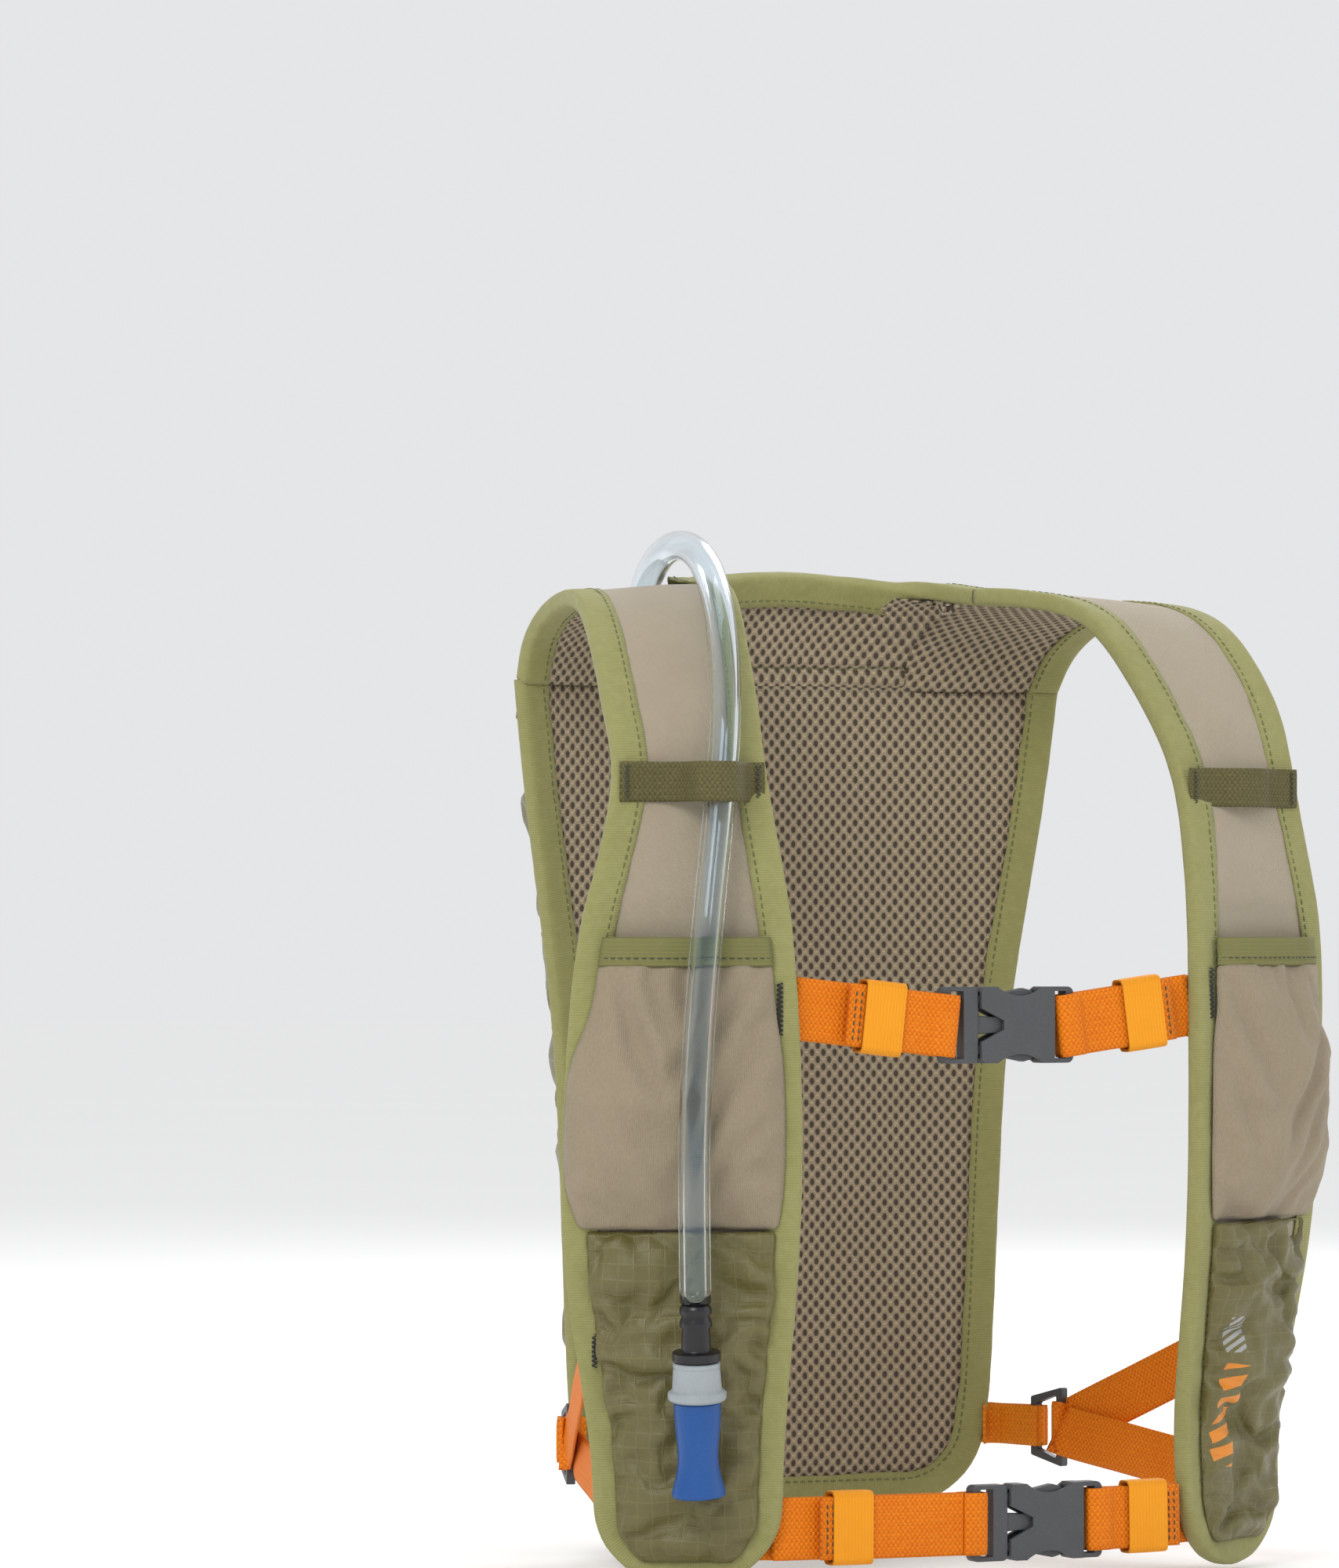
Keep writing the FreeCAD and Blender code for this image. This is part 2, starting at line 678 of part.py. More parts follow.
def chest_strap(name, middle, depth, height, right, left):
    """A strap with its buckle. right and left give each side's anchor x, rise, tail and keeper x."""
    place = at(middle, depth, height)
    bar = BUCKLE_REACH - BAR
    pieces = {"buckle_female": buckle_female(), "buckle_male": buckle_male(), "prong_upper": buckle_prong()}
    pieces["prong_lower"] = buckle_prong().mirror(Vector(0, 0, 0), Z_AXIS)
    for side, (anchor, rise, tail, keeper_x), sign in (("right", right, -1), ("left", left, 1)):
        start = sign * BUCKLE_REACH
        pieces["webbing_" + side] = hairpin(start, sign * bar, anchor - middle, tail - middle, rise)
        pieces["keeper_" + side] = keeper(keeper_x - middle, rise, start, anchor - middle)
    for piece, shape in pieces.items():
        shape.translate(place)
        save(name + "_" + piece, shape)


# --- side V-straps ------------------------------------------------------------------------
def band(points, width_way, width, thick):
    """A flat band through points, extruded both ways along width_way."""
    side = []
    for i, p in enumerate(points):
        along = unit(points[min(i + 1, len(points) - 1)] - points[max(i - 1, 0)])
        side.append(unit(width_way.cross(along)))
    low = [p - s * (thick / 2) - width_way * (width / 2) for p, s in zip(points, side)]
    high = [p + s * (thick / 2) - width_way * (width / 2) for p, s in zip(points, side)]
    return extruded(low + high[::-1], width_way * width)


def side_ring():
    """A trapezoid ring: its front bar holds the V-strap, its rear bar the sewn tab."""
    x, y, height = RING_AT
    outer = [Vector(-8, 0, -15), Vector(8, 0, -11), Vector(8, 0, 11), Vector(-8, 0, 15)]
    inner = [Vector(-5, 0, -12), Vector(5, 0, -8.6), Vector(5, 0, 8.6), Vector(-5, 0, 12)]
    ring = extruded([p + Vector(0, -1.6, 0) for p in outer], Vector(0, 3.2, 0))
    ring = ring.cut(extruded([p + Vector(0, -3, 0) for p in inner], Vector(0, 6, 0)))
    ring = rounded(ring, 0.9, runs_along(Vector(0, 1, 0)))
    ring.rotate(Vector(0, 0, 0), Z_AXIS, ring_turn())
    ring.translate(at(x, y, height))
    return ring


def strap_edge(height):
    """Where the V-strap is sewn, just behind the strap's outer edge."""
    station = station_at(height)
    return station.outer + station.out * (-5.2) - station.across * 4.0


def ring_turn():
    """The ring's +X end points at the back panel, its -X end at the strap's outer edge."""
    x, y, height = RING_AT
    target = strap_edge(55)
    return math.degrees(math.atan2(y - target.y, x - target.x))


def v_strap():
    """One webbing sewn to the strap above and below, passing through the ring."""
    x, y, height = RING_AT
    turn = math.radians(ring_turn())
    forward = Vector(-math.cos(turn), -math.sin(turn), 0)
    middle = at(x, y, height) + forward * 6.5
    side = Vector(-forward.y, forward.x, 0)
    pieces = []
    for top, lean in ((84.0, 1), (27.0, -1)):
        end = strap_edge(top)
        start = middle + forward * 5.2 + side * (lean * 1.1) + Z_AXIS * (lean * 2.0)
        run = end - start
        width_way = unit(side.cross(run))
        shape = band([start, end], width_way, SIDE_WEB_WIDTH, WEB_THICK)
        pieces.append(shape)
    ring_loop = Part.makeCylinder(3.9, 21, middle - Z_AXIS * 10.5)
    ring_loop = ring_loop.cut(Part.makeCylinder(2.7, 23, middle - Z_AXIS * 11.5))
    neck = block(Vector(3.2, -1.9, -10.5), Vector(7.4, 1.9, 10.5))
    neck.rotate(Vector(0, 0, 0), Z_AXIS, math.degrees(math.atan2(forward.y, forward.x)))
    neck.translate(middle)
    solid = ring_loop.fuse(neck)
    for shape in pieces:
        solid = solid.fuse(shape)
    return solid


def ring_tab():
    """The short webbing tab round the ring's rear bar, sewn to the back panel's edge."""
    x, y, height = RING_AT
    turn = math.radians(ring_turn())
    back = Vector(math.cos(turn), math.sin(turn), 0)
    middle = at(x, y, height) + back * 6.5
    half = 7.6
    loop = Part.makeCylinder(3.8, 2 * half, middle - Z_AXIS * half)
    loop = loop.cut(Part.makeCylinder(2.7, 2 * half + 2, middle - Z_AXIS * (half + 1)))
    edge = back_point(87, height) + back_out(87) * (FACE + 2.2)
    root = middle + back * 3.0
    fold = Vector(90, edge.y - 2.0, root.z)
    end = back_point(79.5, height) + back_out(79.5) * (FACE + 1.6)
    line = [root, fold, edge, end]
    tab = band([Vector(p.x, p.y, root.z) for p in line], Z_AXIS, 2 * half, 2.0)
    return loop.fuse(tab)


TACK_HEIGHTS = [(206.0, 1), (201.0, -1)]   # height of its middle, and left or right
TACK_OFF = 1.0


def bar_tacks():
    """Stitched bars over the sewn ends of the sternum strap."""
    tacks = []
    for height, sign in TACK_HEIGHTS:
        station = station_at(height)
        middle = station.inner + station.across * 5.5 + station.out * (FACE + TACK_OFF)
        tacks.append((middle, station.across, station.out, sign))
    shapes = []
    for middle, across, out, sign in tacks:
        corners = []
        for u, w in ((-1.4, -9), (1.4, -9), (1.4, 9), (-1.4, 9)):
            corners.append(middle + across * u + Z_AXIS * w)
        shape = extruded(corners, out * 0.6)
        shapes.append(shape if sign > 0 else mirrored(shape))
    return Part.Compound(shapes)


# --- drink tube --------------------------------------------------------------------------
# The free tube from the bag's port over the right shoulder to the valve, x, y, height.
DRINK_ROUTE = [
    (-58, 76.2, 331.6), (-61.5, 62.2, 348.5), (-66.5, 42.1, 361.6), (-71.5, 17, 368), (-77.5, -13, 367),
    (-85, -44, 356.5), (-92, -68, 336), (-99, -86, 306), (-106.5, -95, 272), (-114.5, -103, 236),
    (-120.5, -107.8, 198), (-122.5, -107.5, 160), (-121.5, -105.5, 128), (-119.5, -102.5, 100),
]
INNER_ROUTE = [
    (-44, 99.5, 102), (-44.8, 100.2, 128), (-46.3, 100, 170), (-46, 100.3, 212),
    (-48, 98.5, 252), (-52, 93.5, 286), (-57, 88.5, 312), (-58, 76.5, 331.2),
]


def tube(route, diameter, name):
    """A tube along straight runs joined by arcs as large as the runs allow."""
    points = [at(*p) for p in route]
    edges = []
    place = points[0]
    radii = []
    for before, corner, after in zip(points, points[1:], points[2:]):
        come, go = unit(corner - before), unit(after - corner)
        half = come.getAngle(go) / 2
        shorter = min((corner - before).Length, (after - corner).Length)
        reach = 0.45 * shorter
        radii.append(reach / math.tan(half))
        start, end = corner - come * reach, corner + go * reach
        middle_way = unit(go - come)
        sag = radii[-1] * (1 / math.cos(half) - 1)
        edges.append(Part.LineSegment(place, start).toShape())
        edges.append(Part.Arc(start, corner + middle_way * sag, end).toShape())
        place = end
    edges.append(Part.LineSegment(place, points[-1]).toShape())
    path = Part.Wire(edges)
    ring = Part.Wire([Part.makeCircle(diameter / 2, points[0], unit(points[1] - points[0]))])
    solid = path.makePipeShell([ring], True, False)
    section = math.pi * diameter ** 2 / 4
    print(f"{name}: radii {[round(r) for r in radii]}, length {path.Length:.0f}, volume over section "
          f"times length {solid.Volume / (section * path.Length):.4f}")
    return solid


def turned(profile, start, direction):
    """A solid of revolution from (along, radius) pairs, about a line from start."""
    outline = [Vector(r, 0, a) for a, r in profile]
    face = Part.Face(closed(outline))
    solid = face.revolve(Vector(0, 0, 0), Z_AXIS, 360)
    solid.Placement = FreeCAD.Placement(start, FreeCAD.Rotation(Z_AXIS, direction))
    return solid


def drink_parts():
    end, before = at(*DRINK_ROUTE[-1]), at(*DRINK_ROUTE[-2])
    down = unit(end - before)
    connector = [(0.1, 2.0), (0.1, 4.4), (2, 5.6), (4, 5.6), (4, 4.9), (6.5, 5.6), (8.5, 5.6), (8.5, 4.9),
                 (12, 5.2), (17, 5.2), (17, 8.4), (20.4, 8.4), (20.4, 2.0)]
    collar = [(20.7, 2.5), (20.7, 8.2), (30.5, 8.8), (31.2, 10.2), (33.8, 10.2), (34.4, 9.4), (34.4, 2.5)]
    valve = [
        (34.7, 2.2), (34.7, 8.2), (46, 7.6), (54, 7.1), (60, 7.6),
        (66, 9.2), (67.6, 9.4), (68, 8.6), (68, 2.2),
    ]
    return [turned(p, end, down) for p in (connector, collar, valve)]


# --- make every piece ---------------------------------------------------------------------
def main():
    os.makedirs(PARTS, exist_ok=True)
    mesh_low, mesh_high = 0.0, MESH
    fabric_low, fabric_high = MESH + PLAY, MESH + PLAY + FABRIC
    save_pair("strap_mesh", strap_panel(mesh_low, mesh_high, 0.8))
    save_pair("strap_fabric", strap_panel(fabric_low, fabric_high, 0.8))
    save_pair("strap_binding", strap_binding())
    save("yoke_mesh", yoke_panel(mesh_low, mesh_high))
    save("yoke_fabric", yoke_panel(fabric_low, fabric_high))
    save("neck_binding", neck_binding())
    save("back_mesh", back_panel(mesh_low, mesh_high, 1.4))
    save("back_fabric", back_panel(fabric_low, fabric_high, 1.4))
    save("back_binding", back_binding())
    save("bag_shell", bag_shell())
    save("bag_mouth_elastic", mouth_elastic())
    save("bag_top_strip", top_strip())
    save("bladder", bladder())
    port, cap = fill_parts()
    save("bladder_fill_port", port)
    save("bladder_fill_cap", cap)
    hanger_depth = BACK_DEPTH + BLADDER_OFF
    hanger = block(at(-9, hanger_depth, 292.5), at(9, hanger_depth + 1.4, 330))
    save("bladder_hanger", hanger)
    save("bladder_outlet", bladder_outlet())
    save("inner_tube", tube(INNER_ROUTE, HOSE_OD, "inner tube"))
    save("flap_panel", flap_panel())
    save("flap_hem", flap_hem())
    save("flap_tab", flap_tab())
    save("hang_loop", hang_loop())
    save_pair("stretch_pocket", stretch_pocket())
    save_pair("pocket_elastic", pocket_elastic())
    save_pair("lower_pocket", lower_pocket())
    save("hose_loop_left", keeper_loop(5.2, 0.0))
    save("hose_loop_right", mirrored(keeper_loop(16.5, -0.22)))
    chest_strap("sternum", STERNUM_BUCKLE_X, STERNUM_DEPTH, STERNUM_HEIGHT,
                (-77.5, 6, -60, -46.5), (77.5, 6.5, 71, 58.5))
    chest_strap("waist", WAIST_BUCKLE_X, WAIST_DEPTH, WAIST_HEIGHT,
                (-78.5, 0.5, -66, -54), (78.5, 0.5, 78, 64.5))
    save_pair("v_strap", v_strap())
    save_pair("side_ring", side_ring())
    save_pair("ring_tab", ring_tab())
    save("bar_tacks", bar_tacks())
    save("drink_tube", tube(DRINK_ROUTE, HOSE_OD, "drink tube"))
    connector, collar, valve = drink_parts()
    save("tube_connector", connector)
    save("valve_collar", collar)
    save("bite_valve", valve)


main()
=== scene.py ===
import math

import bmesh
import bpy
import numpy as np
from mathutils import Matrix, Vector, noise


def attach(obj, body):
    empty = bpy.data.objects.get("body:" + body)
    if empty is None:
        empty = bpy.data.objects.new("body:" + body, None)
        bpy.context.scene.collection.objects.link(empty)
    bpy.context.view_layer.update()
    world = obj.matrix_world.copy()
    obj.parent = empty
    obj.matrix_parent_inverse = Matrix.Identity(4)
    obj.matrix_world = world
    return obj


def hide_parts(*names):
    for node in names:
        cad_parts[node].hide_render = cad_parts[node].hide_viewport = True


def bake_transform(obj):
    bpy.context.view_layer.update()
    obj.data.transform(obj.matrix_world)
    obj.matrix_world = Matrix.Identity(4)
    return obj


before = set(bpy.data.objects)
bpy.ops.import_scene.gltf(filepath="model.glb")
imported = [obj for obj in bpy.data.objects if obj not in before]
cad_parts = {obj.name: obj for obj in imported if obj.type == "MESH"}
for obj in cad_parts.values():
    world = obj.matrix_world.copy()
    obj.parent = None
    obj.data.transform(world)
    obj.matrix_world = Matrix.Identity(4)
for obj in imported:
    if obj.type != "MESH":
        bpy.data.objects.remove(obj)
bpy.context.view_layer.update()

# A running-vest hydration pack in its worn shape. The numbers are millimetres, measured as
# x (the wearer's left), y (the wearer's back) and height above the strap ends.

MM = 0.001
SHOULDER_HEIGHT = 350.0
UP = Vector((0, 0, 1))
ALONG_X = Vector((1, 0, 0))

MESH = 3.2
FABRIC = 0.8
TAPE = 0.7
PLAY = 0.3
LAYERS = MESH + FABRIC + 2 * PLAY
FACE = LAYERS + TAPE
WEB_WIDTH = 22.0
WEB_THICK = 1.3
SIDE_WEB_WIDTH = 19.0
HOSE_OD = 11.0
BUCKLE_REACH = 26.0


# --- points, lines and frames -------------------------------------------------------------
def at(x, y, height):
    """A point given by its height above the strap ends."""
    return Vector((x, y, height - SHOULDER_HEIGHT))


def other_side(points):
    """The same points on the wearer's right."""
    return [Vector((-p.x, p.y, p.z)) for p in points]


def smooth_line(points, per_span):
    """Points along a smooth curve through the given points, per_span to each span."""
    p = np.array([tuple(v) for v in points], float)
    n = len(p)
    system, right = np.eye(n), np.zeros_like(p)
    for i in range(1, n - 1):
        system[i, i - 1:i + 2] = (1, 4, 1)
        right[i] = 6 * (p[i - 1] - 2 * p[i] + p[i + 1])
    bend = np.linalg.solve(system, right)
    line = []
    for i in range(n - 1):
        for k in range(per_span):
            t = k / per_span
            s = 1 - t
            line.append(s * p[i] + t * p[i + 1]
                        + ((s ** 3 - s) * bend[i] + (t ** 3 - t) * bend[i + 1]) / 6)
    line.append(p[-1])
    return [Vector(v) for v in line]


def smooth_value(table, x):
    """A number read between the rows (place, number) of a table, without corners."""
    rows = sorted(table)
    if x <= rows[0][0]:
        return rows[0][1]
    for (a, low), (b, high) in zip(rows, rows[1:]):
        if x <= b:
            t = (x - a) / (b - a)
            return low + (high - low) * t
    return rows[-1][1]


def evenly(line, step):
    """Points spread evenly along a line, about step apart."""
    p = np.array([tuple(v) for v in line], float)
    run = np.concatenate([[0], np.cumsum(np.linalg.norm(np.diff(p, axis=0), axis=1))])
    count = max(2, int(round(run[-1] / step)) + 1)
    places = np.linspace(0, run[-1], count)
    return [Vector([np.interp(s, run, p[:, k]) for k in range(3)]) for s in places]


def tangents(line):
    last = len(line) - 1
    return [(line[min(i + 1, last)] - line[max(i - 1, 0)]).normalized() for i in range(len(line))]


def drift(place, seed, size):
    """A smooth random number between about -1 and 1 that changes over size."""
    return 1.6 * noise.noise(Vector((place / size, seed * 7.31, 0.37)))


def drift2(u, v, seed, size):
    return 1.6 * noise.noise(Vector((u / size, v / size, seed * 5.17)))


def creases(u, v, lines):
    """How far fold lines lift a cloth at (u, v): each is two ends, a depth and a width."""
    total = 0.0
    for (au, av), (bu, bv), depth, width in lines:
        du, dv = bu - au, bv - av
        t = ((u - au) * du + (v - av) * dv) / (du * du + dv * dv)
        near = min(1.0, max(0.0, t))
        side = ((u - au) * dv - (v - av) * du) / math.hypot(du, dv)
        gap = math.hypot(u - au - near * du, v - av - near * dv)
        fade = math.sin(math.pi * (0.1 + 0.8 * near))
        valley = math.exp(-(gap / width) ** 2)
        ridge = math.exp(-((gap - 1.7 * width) / width) ** 2) * (0.6 if side > 0 else 0.25)
        total += depth * fade * (ridge - valley)
    return total


# --- making meshes ------------------------------------------------------------------------
def only(thing):
    bpy.ops.object.select_all(action="DESELECT")
    thing.select_set(True)
    bpy.context.view_layer.objects.active = thing


def apply_modifiers(thing):
    only(thing)
    for modifier in list(thing.modifiers):
        bpy.ops.object.modifier_apply(modifier=modifier.name)


def new_object(name, points, faces, finish):
    mesh = bpy.data.meshes.new(name)
    mesh.from_pydata([p * MM for p in points], [], faces)
    mesh.materials.append(finish)
    thing = bpy.data.objects.new(name, mesh)
    bpy.context.scene.collection.objects.link(thing)
    mesh.shade_smooth()
    return thing


def tidy_normals(thing):
    """Turns the faces of a closed shape outwards."""
    shape = bmesh.new()
    shape.from_mesh(thing.data)
    bmesh.ops.recalc_face_normals(shape, faces=shape.faces)
    shape.to_mesh(thing.data)
    shape.free()


def paint_uv(thing, places):
    """Gives each face corner its place on the flat cloth, in metres."""
    layer = thing.data.uv_layers.new(name="cloth")
    for corner, place in zip(layer.data, places):
        corner.uv = place


def cloth(name, rows, finish, wall=0.0, toward=None, smooth=0):
    """A cloth through rows of points. Its UV map is its flat shape in metres."""
    wide, tall = len(rows[0]), len(rows)
    points = [p for row in rows for p in row]
    faces = []
    for i in range(tall - 1):
        for j in range(wide - 1):
            a = i * wide + j
            faces.append((a, a + 1, a + wide + 1, a + wide))
    thing = new_object(name, points, faces, finish)
    middle = wide // 2
    down = [0.0]
    for above, below in zip(rows, rows[1:]):
        down.append(down[-1] + (below[middle] - above[middle]).length)
    flat = []
    for i, row in enumerate(rows):
        run = [0.0]
        for a, b in zip(row, row[1:]):
            run.append(run[-1] + (b - a).length)
        flat += [((s - run[middle]) * MM, down[i] * MM) for s in run]
    paint_uv(thing, [flat[i] for face in faces for i in face])
    if toward is not None:
        total = sum((f.area * f.normal.dot(toward) for f in thing.data.polygons), 0.0)
        if total < 0:
            thing.data.flip_normals()
    if smooth or wall:
        finish_cloth(thing, wall, smooth)
    return thing


def finish_cloth(thing, wall, smooth=0):
    """Smooths a cloth and gives it its thickness."""
    if smooth:
        soft = thing.modifiers.new("soft", "SUBSURF")
        soft.levels = soft.render_levels = smooth
    if wall:
        thick = thing.modifiers.new("thick", "SOLIDIFY")
        thick.thickness = wall * MM
        thick.offset = 0
    apply_modifiers(thing)
    if wall:
        tidy_normals(thing)
    thing.data.shade_smooth()


def skin(name, rings, finish, tile=None):
    """A closed solid through rings of points, closed at both ends."""
    wide = len(rings[0])
    points = [p for ring in rings for p in ring]
    faces = []
    for i in range(len(rings) - 1):
        for j in range(wide):
            k = (j + 1) % wide
            faces.append((i * wide + j, i * wide + k, (i + 1) * wide + k, (i + 1) * wide + j))
    sides = len(faces)
    faces.append(tuple(range(wide)))
    faces.append(tuple((len(rings) - 1) * wide + j for j in reversed(range(wide))))
    thing = new_object(name, points, faces, finish)
    down = [0.0]
    for above, below in zip(rings, rings[1:]):
        down.append(down[-1] + sum(((b - a).length for a, b in zip(above, below)), 0.0) / wide)
    if tile is None:
        tile = [0.0]
        for a, b in zip(rings[0], rings[0][1:] + rings[0][:1]):
            tile.append(tile[-1] + (b - a).length)
    places = []
    for n, face in enumerate(faces):
        for c, i in enumerate(face):
            row, column = divmod(i, wide)
            if n < sides and c in (1, 2) and column == 0:
                column = wide
            places.append((tile[column] * MM, down[row] * MM))
    paint_uv(thing, places)
    tidy_normals(thing)
    return thing


def ribbon(name, line, ways, width, thick, finish, columns=8):
    """Flat webbing along a line. ways are the directions of its width."""
    rings = []
    along = tangents(line)
    shares = [2 * j / columns - 1 for j in range(columns + 1)]
    for p, t, way in zip(line, along, ways):
        way = (way - t * way.dot(t)).normalized()
        up = way.cross(t).normalized()
        ring = []
        for side, order in ((1, shares), (-1, shares[::-1])):
            for share in order:
                lift = 1.0 if abs(share) < 0.93 else 0.62
                ring.append(p + way * (share * width / 2) + up * (side * lift * thick / 2))
        rings.append(ring)
    tile = [s * width / 2 for s in shares + shares[::-1]]
    tile.append(-width / 2)
    return skin(name, rings, finish, tile)


class Thread:
    """Collects stitches into one piece: each is a small bead of thread."""

    def __init__(self, radius):
        self.points, self.faces, self.radius = [], [], radius

    def stitch(self, start, end, up):
        way = (end - start).normalized()
        side = up.cross(way).normalized()
        first = len(self.points)
        self.points.append(start - up * self.radius * 0.6)
        for share in (0.16, 0.84):
            middle = start + (end - start) * share
            for k in range(6):
                turn = math.pi * k / 3
                self.points.append(middle
                                   + (side * math.cos(turn) + up * math.sin(turn)) * self.radius)
        self.points.append(end - up * self.radius * 0.6)
        last = len(self.points) - 1
        for k in range(6):
            n = (k + 1) % 6
            a, b = first + 1 + k, first + 1 + n
            self.faces.append((first, b, a))
            self.faces.append((a, b, b + 6, a + 6))
            self.faces.append((last, a + 6, b + 6))

    def row(self, line, ups, pitch=3.3, share=0.74):
        """Stitches along a line; ups are the directions off the cloth."""
        p = np.array([tuple(v) for v in line], float)
        u = np.array([tuple(v) for v in ups], float)
        run = np.concatenate([[0], np.cumsum(np.linalg.norm(np.diff(p, axis=0), axis=1))])
        for n in range(int(run[-1] / pitch)):
            a = n * pitch + 0.5 * pitch * (1 - share)
            b = a + pitch * share
            ends = [Vector([np.interp(s, run, p[:, k]) for k in range(3)]) for s in (a, b)]
            up = Vector([np.interp((a + b) / 2, run, u[:, k]) for k in range(3)]).normalized()
            self.stitch(ends[0], ends[1], up)

    def zigzag(self, start, end, across, up, pitch=1.0):
        """A bar tack: close slanted stitches from start to end, across wide."""
        count = max(3, int((end - start).length / pitch))
        for n in range(count):
            a = start + (end - start) * (n / count)
            b = start + (end - start) * ((n + 0.5) / count)
            self.stitch(a - across / 2, b + across / 2, up)
            c = start + (end - start) * ((n + 1) / count)
            self.stitch(b + across / 2, c - across / 2, up)

    def piece(self, name, finish):
        thing = new_object(name, self.points, self.faces, finish)
        tidy_normals(thing)
        return thing


def gather(thing, pins, grow, puff, cap, frames=22, stiff=0.4):
    """Lets a cloth that is larger than its sewn edges wrinkle and swell."""
    group = thing.vertex_groups.new(name="sewn")
    for index, weight in pins.items():
        group.add([index], weight, "REPLACE")
    modifier = thing.modifiers.new("wrinkle", "CLOTH")
    settings = modifier.settings
    settings.quality = 7
    settings.mass = 0.12
    settings.tension_stiffness = settings.compression_stiffness = 12
    settings.shear_stiffness = 4
    settings.bending_stiffness = stiff
    settings.air_damping = 3
    settings.shrink_min = -grow
    settings.use_pressure = True
    settings.uniform_pressure_force = puff
    settings.vertex_group_mass = "sewn"
    settings.effector_weights.gravity = 0
    modifier.collision_settings.use_collision = False
    modifier.point_cache.frame_end = frames
    start = [v.co.copy() for v in thing.data.vertices]
    scene = bpy.context.scene
    for number in range(1, frames + 1):
        scene.frame_set(number)
    settled = thing.evaluated_get(bpy.context.evaluated_depsgraph_get()).to_mesh()
    moved = [v.co.copy() for v in settled.vertices]
    thing.modifiers.remove(modifier)
    thing.vertex_groups.clear()
    for vertex, a, b in zip(thing.data.vertices, start, moved):
        step = b - a
        far = step.length
        if far > 1e-9:
            vertex.co = a + step * (cap * MM * math.tanh(far / (cap * MM)) / far)
    scene.frame_set(1)


def sewn_pins(wide, tall, sides="lrtb", soft=1.0):
    """The points of a grid's edges, as pins: left, right, top and bottom."""
    pins = {}
    for i in range(tall):
        for j in range(wide):
            edge = ("l" in sides and j == 0) or ("r" in sides and j == wide - 1)
            edge = edge or ("t" in sides and i == 0) or ("b" in sides and i == tall - 1)
            if edge:
                pins[i * wide + j] = soft
    return pins


